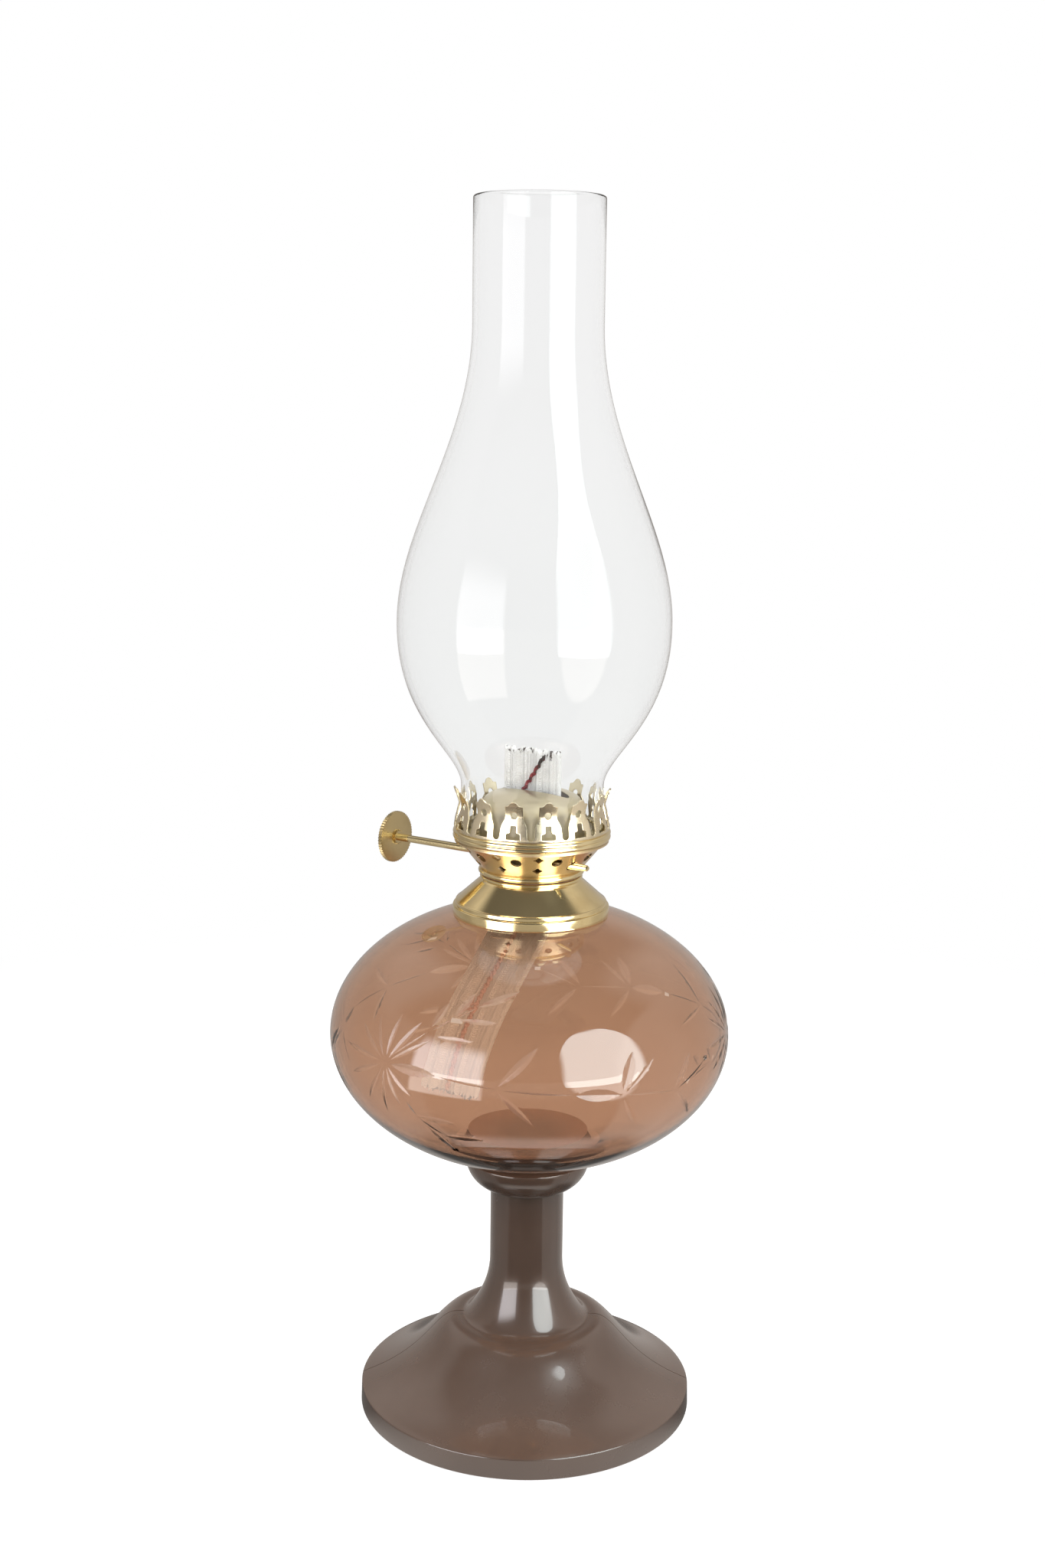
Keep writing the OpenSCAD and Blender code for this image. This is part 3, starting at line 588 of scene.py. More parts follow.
# %% Cutting
def cut_out(target, tool_bm, crease, cut_material=None):
    """Takes a closed tool out of a piece for good. The cut faces may get a material of their own."""
    tool_mesh = bpy.data.meshes.new("tool")
    if cut_material:
        target.data.materials.append(cut_material)
        tool_mesh.materials.append(cut_material)
    bmesh.ops.recalc_face_normals(tool_bm, faces=tool_bm.faces)
    tool_bm.to_mesh(tool_mesh)
    tool_bm.free()
    tool = bpy.data.objects.new("tool", tool_mesh)
    scene.collection.objects.link(tool)
    cut = target.modifiers.new("cut", "BOOLEAN")
    cut.operation, cut.solver, cut.object, cut.use_self = "DIFFERENCE", "EXACT", tool, True
    cut.material_mode = "TRANSFER" if cut_material else "INDEX"
    graph = bpy.context.evaluated_depsgraph_get()
    cut_mesh = bpy.data.meshes.new_from_object(target.evaluated_get(graph))
    target.modifiers.remove(cut)
    bm = bmesh.new()
    bm.from_mesh(cut_mesh)
    bmesh.ops.dissolve_degenerate(bm, edges=bm.edges, dist=2 * MERGE * MM)
    soften(bm, crease)
    bm.to_mesh(target.data)
    bm.free()
    bpy.data.meshes.remove(cut_mesh)
    bpy.data.objects.remove(tool)
    bpy.data.meshes.remove(tool_mesh)
    print(target.name, "after cutting, faces:", len(target.data.polygons))


print("slivers under", 2 * MERGE, "mm are dissolved after a cut")

# %% [markdown]
# The two halves of the mould met in a plane through the axis, and the joint still shows as a hairline
# that runs over the rim, up the bell and across the shelf on both sides. A thin blade with the same
# outline, which reaches a little out of the surface and a little into it, cuts it.

# %% Mould lines
SEAM_ANGLE, SEAM_W, SEAM_DEEP, SEAM_CLEAR = radians(32.5), 0.34, 0.3, 0.6
seam_path = rim[5:] + bell[1:] + fillet[:4]
blade_outline = beside(seam_path, -SEAM_CLEAR) + beside(seam_path, SEAM_DEEP)[::-1]
blades = bmesh.new()
for side in (1, -1):
    corners = [blades.verts.new((side * r * MM, -SEAM_W / 2 * MM, z * MM)) for r, z in blade_outline]
    strip = [blades.faces.new((corners[k], corners[k + 1], corners[-2 - k], corners[-1 - k]))
             for k in range(len(seam_path) - 1)]
    grown = bmesh.ops.extrude_face_region(blades, geom=strip)
    bmesh.ops.translate(blades, verts=fresh_verts(grown), vec=(0, SEAM_W * MM, 0))
bmesh.ops.rotate(blades, verts=blades.verts, cent=(0, 0, 0), matrix=Matrix.Rotation(SEAM_ANGLE, 3, "Z"))
cut_out(pedestal, blades, crease=32)

# %% [markdown]
# ## The glass font
# The font is blown: a flattened ball with a thick floor, a solid peg below that is set in the cup, and
# a short neck above for the collar. Outside and inside are both spun, so light bends twice, as in the
# real one. The peg is a closed shell of its own just below the ball, since it only shows inside the cup.

# %% Font wall
FONT_A, FONT_B, FONT_Z, FONT_WALL = 76.1, 50.0, 152.0, 3.0
PEG_R, PEG_LOW, PEG_TOP, NECK_R, NECK_IN, NECK_ROUND = 15.0, 92.0, 101.8, 23.0, 20.0, 0.4
FONT_FLOOR, FLOOR_EASE = 110.5, 5
NECK_TOP = COLLAR_Z + 7.8


def font_outline(start, stop, wall, count):
    turns = [radians(start + (stop - start) * k / (count - 1)) for k in range(count)]
    return [((FONT_A - wall) * cos(t), FONT_Z + (FONT_B - wall) * sin(t)) for t in turns]


def above_floor(z):
    """Eases a height of the inside up to the thick floor of the font."""
    return (z + FONT_FLOOR) / 2 + sqrt(((z - FONT_FLOOR) / 2) ** 2 + FLOOR_EASE)


shoulder = FONT_Z + FONT_B * sqrt(1 - (NECK_IN / FONT_A) ** 2) - FONT_WALL
ball = font_outline(-90, degrees(acos(NECK_R / FONT_A)), 0, 90)
neck = [(NECK_R, NECK_TOP - NECK_ROUND), (NECK_R - NECK_ROUND, NECK_TOP),
        (NECK_IN + NECK_ROUND, NECK_TOP), (NECK_IN, NECK_TOP - NECK_ROUND),
        (NECK_IN, shoulder + 2.6), (NECK_IN + 0.8, shoulder + 0.9)]
inside = [(r, above_floor(z)) for r, z in
          font_outline(degrees(acos((NECK_IN + 2.4) / (FONT_A - FONT_WALL))), -90, FONT_WALL, 70)]
ball[0], inside[-1] = (0, FONT_Z - FONT_B), (0, inside[-1][1])
peg = [(0, PEG_LOW), (PEG_R - 0.6, PEG_LOW), (PEG_R, PEG_LOW + 0.6), (PEG_R, PEG_TOP), (0, PEG_TOP)]
font_bm = spun(ball + neck + inside, closed=False, steps=192)
font_bm = spun(peg, closed=False, steps=192, bm=font_bm)
font = piece(font_bm, "glass_font", "lamp", FONT_GLASS, "font_glass", "font", crease=16)

# %% [markdown]
# ## The cut sprigs
# A flower with long petals and a leafy stem are cut into the outside with a grinding wheel. A wheel
# leaves a pointed boat with a V bottom, so each cut is a small four-sided ball that is drawn out to a
# boat, laid on the glass between two places, and taken out of it with a Boolean. Places are given
# as degrees round the font from the photograph's middle and millimetres above the font's middle,
# and a petal or leaf has its width last.

# %% Sprig
FLOWER = (-42.6, 5.3)
PETALS = ((-49.6, 19.7, 2.2), (-41.3, 22.3, 3.0), (-33.3, 21.2, 3.6), (-28.7, 16.3, 2.6),
          (-25.6, 4.9, 6.0), (-33.2, -4.7, 3.4), (-37.4, -9.5, 2.8), (-43.6, -14.3, 2.4),
          (-50.5, -11.0, 2.6), (-57.5, -3.5, 3.0), (-61.0, 6.5, 3.0), (-55.6, 15.5, 2.4))
LEAVES = ((-29.6, 20.2, -26.6, 28.0, 3.6), (-23.2, 24.2, -18.8, 31.4, 3.8), (-16.6, 27.8, -3.5, 32.6, 3.8),
          (-21.6, 23.6, -8.9, 23.6, 2.6), (-27.0, 17.4, -16.1, 17.4, 2.8),
          (-8.2, 3.6, 2.6, 17.0, 4.4), (-8.0, 1.6, 1.3, -10.6, 3.2), (-32.0, -12.2, -20.5, -12.2, 3.4),
          (-24.2, -18.8, -13.1, -18.4, 3.2), (-29.5, -15.6, -23.0, -25.5, 3.0),
          (12.4, 0.6, 25.2, -0.8, 6.4), (25.9, 0.6, 29.8, 13.4, 6.0), (27.4, 0.2, 36.5, 10.2, 2.4),
          (26.2, -2.4, 31.7, -15.1, 3.6), (44.4, -4.6, 54.0, -17.0, 3.2), (43.6, -2.6, 50.5, 8.5, 3.6))
STEMS = ((-24.8, 4.8, -9.0, 2.8), (-7.4, 2.5, 11.6, 0.8), (-40.6, 8.2, -30.4, 18.6),
         (-29.0, 19.4, -23.8, 23.4), (-23.0, 23.8, -17.2, 27.4), (-35.0, -7.2, -32.4, -11.6),
         (-31.6, -13.0, -24.8, -18.4), (26.8, -1.2, 43.6, -3.8), (44.6, -3.7, 57.0, 3.0))
print("petals:", len(PETALS), "leaves:", len(LEAVES), "stems:", len(STEMS))

# %% Cutters
PHOTO_FRONT = degrees(CAMERA_TURN) - 90


def on_font(angle, height):
    """The place on the outside of the font and the way out of it there, in metres."""
    turn = radians(PHOTO_FRONT + angle)
    girth = FONT_A * sqrt(1 - (height / FONT_B) ** 2)
    spot = Vector((girth * cos(turn), girth * sin(turn), height))
    out = Vector((spot.x / FONT_A ** 2, spot.y / FONT_A ** 2, spot.z / FONT_B ** 2)).normalized()
    return (spot + Vector((0, 0, FONT_Z))) * MM, out


def boat(bm, start, stop, width, depth):
    """A pointed cutter with a V bottom from one place on the font to another."""
    made = bmesh.ops.create_uvsphere(bm, u_segments=4, v_segments=14, radius=1)["verts"]
    ahead = (on_font(*stop)[0] - on_font(*start)[0]).normalized()
    for vert in made:
        side, deep, along = vert.co
        part = (along + 1) / 2
        spot, out = on_font(*(a + (b - a) * part for a, b in zip(start, stop)))
        across = ahead.cross(out).normalized()
        lean = sqrt(max(0.0, 1 - along * along))
        vert.co = spot + (across * side * width / 2 + out * deep * depth) * lean * MM


print("the photograph's middle is at", round(PHOTO_FRONT, 1), "degrees")

# %% [markdown]
# The same sprig is cut three times round the font, and the far ones show faintly through the glass.
# Broad cuts go deeper than narrow ones, as the wheel sinks in, and the petals start a little off the
# flower's middle, so that the cuts do not run into one another there.

# %% Wheel cuts
HEART, PETAL_W, LEAF_W, STEM_W, STEM_DEEP = 0.13, 0.75, 0.85, 0.8, 0.2


def cut_depth(width):
    return 0.06 + 0.08 * width


cut_bm = bmesh.new()
for turn in (0, 120, 240):
    for angle, height, width in PETALS:
        root = (FLOWER[0] + (angle - FLOWER[0]) * HEART + turn, FLOWER[1] + (height - FLOWER[1]) * HEART)
        boat(cut_bm, root, (angle + turn, height), width * PETAL_W, cut_depth(width))
    for angle, height, angle_2, height_2, width in LEAVES:
        boat(cut_bm, (angle + turn, height), (angle_2 + turn, height_2), width * LEAF_W, cut_depth(width))
    for angle, height, angle_2, height_2 in STEMS:
        boat(cut_bm, (angle + turn, height), (angle_2 + turn, height_2), STEM_W, STEM_DEEP)
cut_out(font, cut_bm, 14, CUT_GLASS)
print("satin cut faces:", sum(1 for face in font.data.polygons if face.material_index))

# %% [markdown]
# The faces of the inside get the clear glass. Where the font rests in the cup, plaster clings to the
# glass, so the faces there get the bedding's finish. A face is inside if it lies well within the
# ball's oval, or inside the middle of the neck's wall.

# %% Inside and bedding
INNER_SLOT, BED_SLOT = 2, 3
BED_Z, WELL_INSIDE, NECK_LOW = 104.3, 0.95, FONT_Z + 40
font.data.materials.append(INNER_GLASS)
font.data.materials.append(BEDDING)
for face in font.data.polygons:
    x, y, z = face.center / MM
    girth = sqrt(x * x + y * y)
    in_ball = (girth / FONT_A) ** 2 + ((z - FONT_Z) / FONT_B) ** 2 < WELL_INSIDE
    if in_ball or (z > NECK_LOW and girth < (NECK_R + NECK_IN) / 2):
        face.material_index = INNER_SLOT
    elif z < BED_Z:
        face.material_index = BED_SLOT
print("clear inner faces:", sum(1 for face in font.data.polygons if face.material_index == INNER_SLOT))

# %% [markdown]
# ## The collar
# The collar is spun from sheet brass: an upright rim, a step, a cone and a rolled bead at its mouth.
# Inside hangs the sleeve with the thread that the burner screws into. The thread is one small
# section that spins twice round while it climbs.

# %% Collar
COLLAR_TOP, COLLAR_R, CONE_R, MOUTH_R = COLLAR_Z + 15.4, 29.6, 27.85, 19.5
SLEEVE_R, SLEEVE_OUT, SLEEVE_H, LINING_R = 17.25, 18.05, 9, 26.88
collar_rim = [(COLLAR_R - 0.4, COLLAR_Z)] + arc((COLLAR_R - 0.4, COLLAR_Z + 0.4), 0.4, -60, 0, 4) \
    + arc((COLLAR_R - 0.7, COLLAR_Z + 3.2), 0.7, 0, 80, 7)
rim_step = [(COLLAR_R - 0.85, COLLAR_Z + 3.95), (COLLAR_R - 1, COLLAR_Z + 4.1)] \
    + arc((COLLAR_R - 1.6, COLLAR_Z + 4.95), 0.6, 0, 80, 6)
cone = [(CONE_R, COLLAR_Z + 5.75), (MOUTH_R, COLLAR_TOP - 2.15), (MOUTH_R - 0.4, COLLAR_TOP - 1.75),
        (MOUTH_R - 0.65, COLLAR_TOP - 1.45)]
mouth_bead = arc((MOUTH_R - 0.75, COLLAR_TOP - 0.65), 0.65, -70, 90, 10)
sleeve = [(SLEEVE_R + 0.15, COLLAR_TOP), (SLEEVE_R, COLLAR_TOP - 0.15), (SLEEVE_R, COLLAR_TOP - SLEEVE_H),
          (SLEEVE_OUT, COLLAR_TOP - SLEEVE_H), (SLEEVE_OUT, COLLAR_TOP - 2)]
lining = [(SLEEVE_OUT + 1.05, COLLAR_TOP - 2), (LINING_R, COLLAR_Z + 5.3), (LINING_R, COLLAR_Z + 3),
          (COLLAR_R - 0.8, COLLAR_Z + 2.6), (COLLAR_R - 0.8, COLLAR_Z + 0.4)]
collar_bm = spun(collar_rim + rim_step + cone + mouth_bead + sleeve + lining, steps=144)
piece(collar_bm, "brass_collar", "lamp", SPUN_BRASS, "brass", "collar")

# %% Collar thread
THREAD_PITCH, THREAD_TURNS, TURN_STEPS = 2.5, 2, 48
THREAD_Z = COLLAR_TOP - 8.2
THREAD_ROOT, THREAD_CREST, HALF_ROOT, HALF_CREST = 0.2, 0.7, 0.45, 0.2


def thread(root, crest, start):
    """A ridge that climbs round the axis, from its section at the start height."""
    bm = bmesh.new()
    section = [bm.verts.new((r * MM, 0, (start + z) * MM)) for r, z in
               ((root, -HALF_ROOT), (crest, -HALF_CREST), (crest, HALF_CREST), (root, HALF_ROOT))]
    edges = [bm.edges.new(pair) for pair in zip(section, section[1:] + section[:1])]
    first = bm.faces.new(section)
    bmesh.ops.spin(bm, geom=section + edges + [first], cent=(0, 0, 0), axis=(0, 0, 1),
                   dvec=(0, 0, THREAD_PITCH / TURN_STEPS * MM), angle=2 * pi * THREAD_TURNS,
                   steps=TURN_STEPS * THREAD_TURNS)
    bmesh.ops.recalc_face_normals(bm, faces=bm.faces)
    return bm


collar_thread = thread(SLEEVE_R + THREAD_ROOT, SLEEVE_R - THREAD_CREST, THREAD_Z + THREAD_PITCH / 2)
piece(collar_thread, "collar_thread", "lamp", BRASS, "brass")

# %% [markdown]
# ## The burner's base
# The burner's base ring is a round bead over a plain skirt, with the outer thread on the skirt. Its
# ridge runs half a pitch below the collar's.

# %% Burner base
BASE_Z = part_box("burner_gasket")[1].z / MM
SKIRT_IN, SKIRT_R, SKIRT_H, RING_STEP = 14.9, 16.2, 9, 15.6
BASE_BEAD, BASE_BEAD_R = 0.95, 19.05
base_outline = [(SKIRT_IN, BASE_Z - SKIRT_H), (SKIRT_R - 0.1, BASE_Z - SKIRT_H),
                (SKIRT_R, BASE_Z - SKIRT_H + 0.2), (SKIRT_R, BASE_Z)] \
    + arc((BASE_BEAD_R, BASE_Z + BASE_BEAD), BASE_BEAD, -90, 90, 16) \
    + [(RING_STEP, BASE_Z + 2 * BASE_BEAD), (RING_STEP, BASE_Z - 1.6), (SKIRT_IN, BASE_Z - 1.6)]
piece(spun(base_outline, steps=144), "burner_base", "burner", BRASS, "brass", "burner_screw")
burner_thread = thread(SKIRT_R - THREAD_ROOT, SKIRT_R + THREAD_CREST, THREAD_Z)
piece(burner_thread, "burner_thread", "burner", BRASS, "brass")

# %% [markdown]
# ## The gallery
# The gallery is the crown that grips the chimney: two beads, and above them a thin wall that is cut
# into springy prongs. On the real one the wall is stamped flat and then rolled up, and it is made
# the same way here. One prong is drawn flat with its T slot and its round hole, filled, cut into
# a fine net so that it can bend, and bent onto the wall's outline. Fourteen copies make the ring.

# %% Flat prong
PRONGS, FLAT_R, PRONG_LOW, PRONG_TOP, TIP_W = 14, 28.5, 3.5, 18.9, 3.45
NET_UP, NET_ACROSS, NET_SNAP = 0.8, 1.4, 0.02
HALF_PITCH = FLAT_R * pi / PRONGS
half_prong = [(HALF_PITCH, PRONG_LOW), (HALF_PITCH, 4.7)] + arc((HALF_PITCH, 6), 1.3, -100, -180, 7) \
    + [(HALF_PITCH - 1.5, 9.4)] \
    + curve((HALF_PITCH - 1.7, 10), (HALF_PITCH - 2.1, 11.4), (TIP_W, 11.8), (TIP_W, 13.4), 8) \
    + [(3.4, 17.0), (3.25, 17.2)] + curve((2.3, 17.3), (1.4, 17.5), (1.5, 18.85), (0, PRONG_TOP), 10)[:-1]
half_slot = [(2.65, 5), (2.65, 6.9), (2.4, 7.2), (1.3, 7.6), (1.1, 7.9), (1.1, 9.8), (0.8, 10.2)]
round_hole = arc((0, 13.7), 1.35, 0, 345, 24)


def flipped(points):
    return [(-x, y) for x, y in reversed(points)]


def flat_loop(bm, points):
    ring = [bm.verts.new((x, y, 0)) for x, y in points]
    return [bm.edges.new(pair) for pair in zip(ring, ring[1:] + ring[:1])]


def everything(bm):
    return bm.verts[:] + bm.edges[:] + bm.faces[:]


prong_bm = bmesh.new()
loops = flat_loop(prong_bm, half_prong + [(0, PRONG_TOP)] + flipped(half_prong)) \
    + flat_loop(prong_bm, half_slot + flipped(half_slot)) + flat_loop(prong_bm, round_hole)
bmesh.ops.triangle_fill(prong_bm, use_beauty=True, edges=loops)
net_lines = [((0, PRONG_LOW + NET_UP * k, 0), (0, 1, 0)) for k in range(1, 20)] \
    + [((NET_ACROSS * k, 0, 0), (1, 0, 0)) for k in range(-4, 5)]
for place, way in net_lines:
    bmesh.ops.bisect_plane(prong_bm, geom=everything(prong_bm), plane_co=place, plane_no=way, dist=NET_SNAP)
print("flat prong faces:", len(prong_bm.faces))

# %% [markdown]
# Bending takes each point's height to the wall's radius there and its sideways place to an angle. The
# copies are merged at their feet, and the flat sheet gets its thickness and rounded edges from
# modifiers.

# %% Prongs
SEAT_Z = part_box("chimney")[0].z / MM
FIRST_PRONG, PRONG_SHEET, PRONG_EDGE = radians(7), 0.5, 0.09
wall_line = curve((29.0, 3.6), (30.05, 4.6), (28.45, 9.2), (27.55, 13), 24) \
    + curve((27.57, 13.4), (27.85, 15.2), (28.85, 17.4), (29.55, PRONG_TOP), 12)


def wall_radius(height):
    for (r0, z0), (r1, z1) in zip(wall_line, wall_line[1:]):
        if height <= z1:
            return r0 + (r1 - r0) * (height - z0) / (z1 - z0)
    return wall_line[-1][0]


for vert in prong_bm.verts:
    angle, radius, height = vert.co.x / FLAT_R + FIRST_PRONG, wall_radius(vert.co.y), vert.co.y + SEAT_Z
    vert.co = Vector((radius * cos(angle), radius * sin(angle), height)) * MM
bmesh.ops.spin(prong_bm, geom=everything(prong_bm), cent=(0, 0, 0), axis=(0, 0, 1), dvec=(0, 0, 0),
               angle=2 * pi * (PRONGS - 1) / PRONGS, steps=PRONGS - 1, use_duplicate=True)
bmesh.ops.remove_doubles(prong_bm, verts=prong_bm.verts, dist=10 * MERGE * MM)
bmesh.ops.recalc_face_normals(prong_bm, faces=prong_bm.faces)
if sum(f.normal.dot(f.calc_center_median() * Vector((1, 1, 0))) for f in prong_bm.faces) < 0:
    bmesh.ops.reverse_faces(prong_bm, faces=prong_bm.faces)
prongs = piece(prong_bm, "gallery_prongs", "burner", SHEET_BRASS, "brass", "gallery", crease=40)
sheet = prongs.modifiers.new("sheet", "SOLIDIFY")
sheet.thickness, sheet.offset, sheet.use_even_offset = PRONG_SHEET * MM, -1, True
edge = prongs.modifiers.new("edge", "BEVEL")
edge.width, edge.segments, edge.limit_method, edge.angle_limit = PRONG_EDGE * MM, 2, "ANGLE", radians(50)

# %% [markdown]
# The two beads below the prongs are rolled into one ring, which is a plain spin.

# %% Gallery beads
RING_R, RING_IN, RING_BEAD, RING_LIFT = 28.75, 28.2, 0.95, 0.02
ring_outline = [(RING_IN, SEAT_Z + RING_LIFT), (RING_R, SEAT_Z + RING_LIFT)] \
    + arc((RING_R, SEAT_Z + RING_LIFT + RING_BEAD), RING_BEAD, -80, 48, 12) \
    + arc((RING_R, SEAT_Z + 2.5), RING_BEAD, -48, 75, 12) \
    + [(RING_R, SEAT_Z + 3.7), (RING_IN, SEAT_Z + 3.4)]
piece(spun(ring_outline, steps=144), "gallery_beads", "burner", BRASS, "brass", "gallery")

# %% [markdown]
# ## The flame dome
# The dome spreads the air to the flame. It is a spun cap with a long oval slot for the wick. The cap
# is turned as a thin shell, and an upright oval bar is taken out of it.

# %% Dome
DOME_R, DOME_TOP, DOME_SHEET = 19.6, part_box("flame_dome")[1].z / MM, 0.5
SLOT_L, SLOT_W, BAR_DOWN, BAR_L = 32.0, 10.0, 8, 12
dome_skin = [(DOME_R + 0.5, SEAT_Z + RING_LIFT), (DOME_R + 0.1, SEAT_Z + 0.8)] \
    + curve((DOME_R, SEAT_Z + 8.3), (DOME_R, DOME_TOP - 2.2), (0.77 * DOME_R, DOME_TOP), (0, DOME_TOP), 40)
dome_inner = [(max(r, 0), z) for r, z in reversed(beside(dome_skin[1:-1], DOME_SHEET))]
dome_outline = dome_skin + [(0, DOME_TOP - DOME_SHEET)] + dome_inner + [(DOME_R - 0.2, SEAT_Z + RING_LIFT)]
dome = piece(spun(dome_outline), "flame_dome_cap", "burner", DULL_BRASS, "brass", "flame_dome", crease=30)
slot_bm = bmesh.new()
slot_ring = [slot_bm.verts.new((x * SLOT_L / 2 * MM, y * SLOT_W / 2 * MM, (DOME_TOP - BAR_DOWN) * MM))
             for x, y in arc((0, 0), 1, 0, 354, 60)]
grown = bmesh.ops.extrude_face_region(slot_bm, geom=[slot_bm.faces.new(slot_ring)])
bmesh.ops.translate(slot_bm, verts=fresh_verts(grown), vec=(0, 0, BAR_L * MM))
cut_out(dome, slot_bm, crease=30)

# %% [markdown]
# ## The chimney
# The chimney is clear blown glass: straight where the prongs grip it, swelling to a bulb around
# the flame, and drawn in to a tall neck. Its rims are fire polished, so they are round.

# %% Chimney
CHIMNEY_H, CHIMNEY_WALL, GRIP_H = 232.4, 1.8, 20
BASE_R, BULB_R, TOP_R, RIM_ROUND = 26.7, 50.7, 23.7, CHIMNEY_WALL / 2
BULB_Z, NECK_Z = 0.3445 * CHIMNEY_H, 0.81 * CHIMNEY_H
skin = [(BASE_R, RIM_ROUND), (BASE_R, 8)] \
    + curve((BASE_R, GRIP_H), (BASE_R, GRIP_H + 0.053 * CHIMNEY_H), (BULB_R, 0.19 * CHIMNEY_H),
            (BULB_R, BULB_Z), 40) \
    + curve((BULB_R, BULB_Z + 0.004 * CHIMNEY_H), (BULB_R, BULB_Z + 0.152 * CHIMNEY_H),
            (TOP_R, NECK_Z - 0.18 * CHIMNEY_H), (TOP_R, NECK_Z), 56) \
    + [(TOP_R, NECK_Z + 20), (TOP_R, CHIMNEY_H - RIM_ROUND)]
inner_skin = beside(skin, CHIMNEY_WALL)
top_rim = arc((TOP_R - RIM_ROUND, CHIMNEY_H - RIM_ROUND), RIM_ROUND, 20, 160, 9)
foot_rim = arc((BASE_R - RIM_ROUND, RIM_ROUND), RIM_ROUND, 200, 340, 9)
chimney_outline = [(r, z + SEAT_Z) for r, z in skin + top_rim + inner_skin[::-1] + foot_rim]
piece(spun(chimney_outline, steps=160), "glass_chimney", "chimney", CHIMNEY_GLASS, "chimney_glass",
      "chimney", crease=40)

# %% [markdown]
# ## The knob
# The knob is a milled disc with a shallow dish on its outer side and a small hub on the shaft. The
# milling is real: every second point of the disc's edge is pulled in before it is thickened. Insets
# then shape the chamfers, the dish and the hub, each a width inwards and a height outwards.

# %% Knob
KNOB_X, KNOB_R, KNOB_T, TEETH, TOOTH_DEEP = -60.0, 10, 1.5, 56, 0.035
CHAMFER, DISH, HUB = (0.45, 0.12), ((1.2, 0), (0.4, -0.35)), ((6.6, 0.1), (0.25, 0.9))
shaft_low, shaft_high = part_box("raiser_shaft")
SHAFT_Y, SHAFT_Z = (shaft_low.y + shaft_high.y) / 2 / MM, (shaft_low.z + shaft_high.z) / 2 / MM
knob_bm = bmesh.new()
milled = bmesh.ops.create_circle(knob_bm, cap_ends=True, segments=2 * TEETH, radius=KNOB_R * MM)["verts"]
for k, vert in enumerate(milled):
    vert.co *= 1 - TOOTH_DEEP * (k % 2)
grown = bmesh.ops.extrude_face_region(knob_bm, geom=knob_bm.faces[:])
bmesh.ops.translate(knob_bm, verts=fresh_verts(grown), vec=(0, 0, KNOB_T * MM))
caps = sorted((f for f in knob_bm.faces if len(f.verts) > 4), key=lambda f: f.calc_center_median().z)
bmesh.ops.recalc_face_normals(knob_bm, faces=knob_bm.faces)
for cap, insets in zip(caps, ((CHAMFER, *DISH), (CHAMFER, *HUB))):
    for width, rise in insets:
        bmesh.ops.inset_individual(knob_bm, faces=[cap], thickness=width * MM, depth=rise * MM)
bmesh.ops.translate(knob_bm, verts=knob_bm.verts, vec=(0, 0, -KNOB_T / 2 * MM))
bmesh.ops.rotate(knob_bm, verts=knob_bm.verts, cent=(0, 0, 0), matrix=Matrix.Rotation(pi / 2, 3, "Y"))
bmesh.ops.translate(knob_bm, verts=knob_bm.verts, vec=Vector((KNOB_X, SHAFT_Y, SHAFT_Z)) * MM)
piece(knob_bm, "milled_knob", "raiser", KNOB_BRASS, "brass", "knob", crease=28)

# %% [markdown]
# ## The wick
# A flat wick is woven cotton tape. Cords run along it as ribs and a fine thread crosses them. The
# ribs are modelled: a narrow net is shaped to the tape's section, and its rim is drawn out step by step
# down the tube, round the bend and into the font. Each step keeps how far along the tape it is, so
# that the weave and the burnt top follow the cloth.

# %% The way of the tape
WICK_W, WICK_T, WICK_TOP, BEND_Z = 25.0, 2.8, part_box("wick")[1].z / MM, 204.82
BEND_R, TAIL_SLOPE, TAIL_L, CURL_R, CURL_TURN, STEP = 14.0, radians(50), 34.0, 70.0, radians(30), 1.4


def tape_frames():
    """Frames down the middle of the tape: x across it, y out of its front, z back along it."""
    stretches = ((WICK_TOP - BEND_Z, 0.0), (BEND_R * TAIL_SLOPE, TAIL_SLOPE), (TAIL_L, 0.0),
                 (CURL_R * CURL_TURN, -CURL_TURN))
    at, slope, run, frames = Vector((0, WICK_TOP)), 0.0, 0.0, []
    for length, turn in stretches:
        count = max(2, round(length / STEP))
        for k in range(count):
            rot = Matrix.Rotation(-slope, 4, "X")
            frames.append((Matrix.Translation((0, at.x * MM, at.y * MM)) @ rot, run))
            middle = slope + turn / count / 2
            at = at + Vector((-sin(middle), -cos(middle))) * length / count
            slope += turn / count
            run += length / count
    frames.append((Matrix.Translation((0, at.x * MM, at.y * MM)) @ Matrix.Rotation(-slope, 4, "X"), run))
    return frames


def drawn_along(bm, edges, frames, layer):
    """Draws edges that sit in the first frame through all the others."""
    for (before, _), (after, run) in zip(frames, frames[1:]):
        grown = bmesh.ops.extrude_edge_only(bm, edges=edges)
        verts = fresh_verts(grown)
        bmesh.ops.transform(bm, verts=verts, matrix=after @ before.inverted())
        for vert in verts:
            vert[layer] = run
        fresh = set(verts)
        edges = [g for g in grown["geom"] if isinstance(g, bmesh.types.BMEdge) and fresh.issuperset(g.verts)]
    return edges


frames = tape_frames()
print("tape frames:", len(frames), "tape length in mm:", round(frames[-1][1], 1))

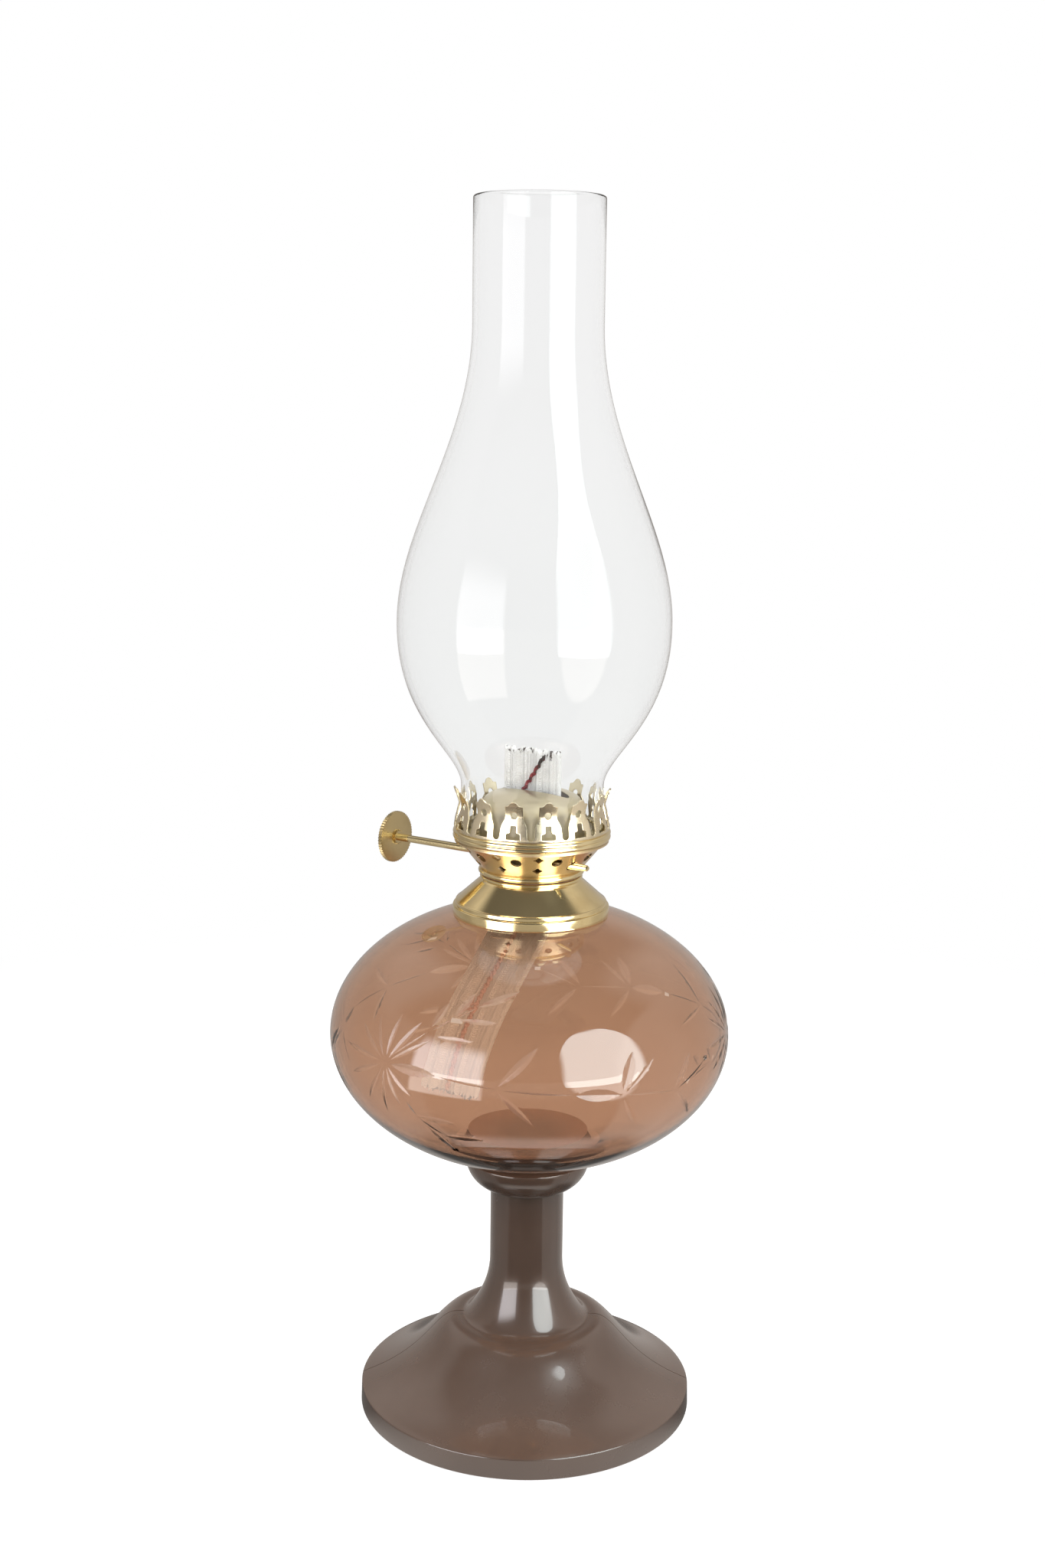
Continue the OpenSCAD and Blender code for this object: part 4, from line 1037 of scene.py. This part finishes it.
# %% Wick tape
RIBS, RIB_COLUMNS, RIB_DEEP, EDGE_ROUND, EDGE_THIN = 14, 4, 0.22, 1.4, 0.92
FRAY_LOW, FRAY_HIGH, LOST, LOST_SHARE, CROWN = -1.3, 0.4, 1.2, 0.12, 0.4
rng = Random(11)
wick_bm = bmesh.new()
along = wick_bm.verts.layers.float.new("along")
columns = RIBS * RIB_COLUMNS
net = bmesh.ops.create_grid(wick_bm, x_segments=columns, y_segments=4, size=1)["verts"]
ragged = [rng.uniform(FRAY_LOW, FRAY_HIGH) - (LOST if rng.random() < LOST_SHARE else 0)
          for k in range(columns + 1)]
for vert in net:
    column = round((vert.co.x + 1) / 2 * columns)
    x, y = vert.co.x * WICK_W / 2, vert.co.y
    rib = 0.5 - 0.5 * cos(2 * pi * RIBS * column / columns)
    past = max(0.0, abs(x) - WICK_W / 2 + EDGE_ROUND) / EDGE_ROUND
    side = sqrt(max(0.0, 1 - past ** 2 * EDGE_THIN))
    thick = (WICK_T / 2 - RIB_DEEP + RIB_DEEP * rib) * side
    vert.co = frames[0][0] @ (Vector((x, y * thick, ragged[column] + CROWN * (1 - y * y))) * MM)
rim_edges = [e for e in wick_bm.edges if len(e.link_faces) == 1]
last = drawn_along(wick_bm, rim_edges, frames, along)
bmesh.ops.contextual_create(wick_bm, geom=last)
bmesh.ops.recalc_face_normals(wick_bm, faces=wick_bm.faces)
print("wick net columns:", columns)

# %% [markdown]
# The cotton is off-white and a little dusty where it stands in the air, with a weft that crosses the
# ribs as a bump. The flame has burnt its top edge black in spots. The weft and the burn read the
# length along the tape that the mesh carries.

# %% Cotton
def cotton():
    f = finish("wick_cotton")
    place = f.place()
    run = f.node("ShaderNodeAttribute", {"attribute_name": "along"}, out="Fac")
    x = f.parts(place)[0]
    weft = f.node("ShaderNodeMath", {"operation": "SINE"}, {0: run * (2 * pi / WEFT_PITCH) + x * WEFT_LEAN})
    fuzz = f.noise(place, scale=1500, detail=4)
    burnt = f.fade(f.noise(place, scale=420, detail=4) - run * 0.1, 0.5, 0.62)
    dusty = f.fade(f.noise(place, scale=160, detail=4), 0.3, 0.75) * (1 - f.fade(run, 14, 40))
    tint = f.blend(dusty, (0.94, 0.93, 0.91, 1), (0.82, 0.81, 0.79, 1))
    colour = f.blend(burnt, tint, (0.045, 0.036, 0.03, 1))
    return f.done(f.coat(base_color=colour, roughness=0.92, normal=f.relief(weft * 0.5 + fuzz, 0.16 * MM)))


WEFT_PITCH, WEFT_LEAN = 0.9, 900
piece(wick_bm, "wick_tape", "wick", cotton(), "cotton", "wick", crease=50)

# %% [markdown]
# A red marker thread of two twisted plies lies on the tape. It crosses the part above the dome on a
# slant, runs down the middle below, is singed at the top and faded further down. Each ply is a small
# ring that is drawn along the tape's frames while the frames turn.

# %% Red dye
def dyed():
    f = finish("red_thread")
    place = f.place()
    fibre = f.noise(place, scale=1800, detail=3)
    run = f.node("ShaderNodeAttribute", {"attribute_name": "along"}, out="Fac")
    red = f.blend(fibre, (0.16, 0.008, 0.014, 1), (0.32, 0.03, 0.04, 1))
    faded = f.blend(f.fade(run, 18, 30), red, (0.78, 0.56, 0.50, 1))
    singed = f.fade(f.noise(place, scale=500, detail=2) - run * 0.035, 0.2, 0.34)
    return f.done(f.coat(base_color=f.blend(singed, faded, (0.016, 0.01, 0.01, 1)), roughness=0.85,
                         normal=f.relief(fibre, 0.08 * MM)))


RED = dyed()
print("dye:", RED.name)

# %% Marker thread
PLY_R, PLY_APART, TWIST = 0.66, 0.8, 2 * pi / 5.6
SLANT_Z, SLANT_X, SLANT, EASE_Z, EASE_H, LIFT = 247, -2.6, 7.5 / 11, 238, 8, 0.1
marker_bm = bmesh.new()
ply_along = marker_bm.verts.layers.float.new("along")
thread_frames = []
for place, run in frames[1:]:
    height = WICK_TOP - run
    drift = SLANT_X + SLANT * (height - SLANT_Z)
    ease = min(1.0, max(0.0, (height - EASE_Z) / EASE_H))
    shift = Vector((drift * ease, -WICK_T / 2 - LIFT, 0)) * MM
    thread_frames.append((place @ Matrix.Translation(shift) @ Matrix.Rotation(run * TWIST, 4, "Z"), run))
for side in (-1, 1):
    ply = bmesh.ops.create_circle(marker_bm, segments=8, radius=PLY_R * MM)["verts"]
    bmesh.ops.translate(marker_bm, verts=ply, vec=(side * PLY_R * PLY_APART * MM, 0, 0))
    bmesh.ops.transform(marker_bm, verts=ply, matrix=thread_frames[0][0])
    ring = list({e for v in ply for e in v.link_edges})
    bmesh.ops.contextual_create(marker_bm, geom=drawn_along(marker_bm, ring, thread_frames, ply_along))
    bmesh.ops.contextual_create(marker_bm, geom=ring)
bmesh.ops.recalc_face_normals(marker_bm, faces=marker_bm.faces)
piece(marker_bm, "marker_thread", "wick", RED, "cotton", crease=60)

# %% [markdown]
# ## The pieces that stay as packed
# The basket, the shaft and what hides inside the burner are right as solids, so they only get
# their finish.

# %% Carried-over solids
KEPT = {"air_basket": WARM_BRASS, "raiser_shaft": BRASS, "air_sieve": INNER_BRASS,
        "wick_tube": INNER_BRASS, "vent_tube": INNER_BRASS, "wheel_case": INNER_BRASS,
        "burner_floor": INNER_BRASS, "spur_wheels": STEEL, "burner_gasket": GASKET,
        "font_cement": PLASTER, "collar_cement": PLASTER}
for node, material in KEPT.items():
    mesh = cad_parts[node].data
    mesh.materials.clear()
    mesh.materials.append(material)
print("solids kept:", len(KEPT))
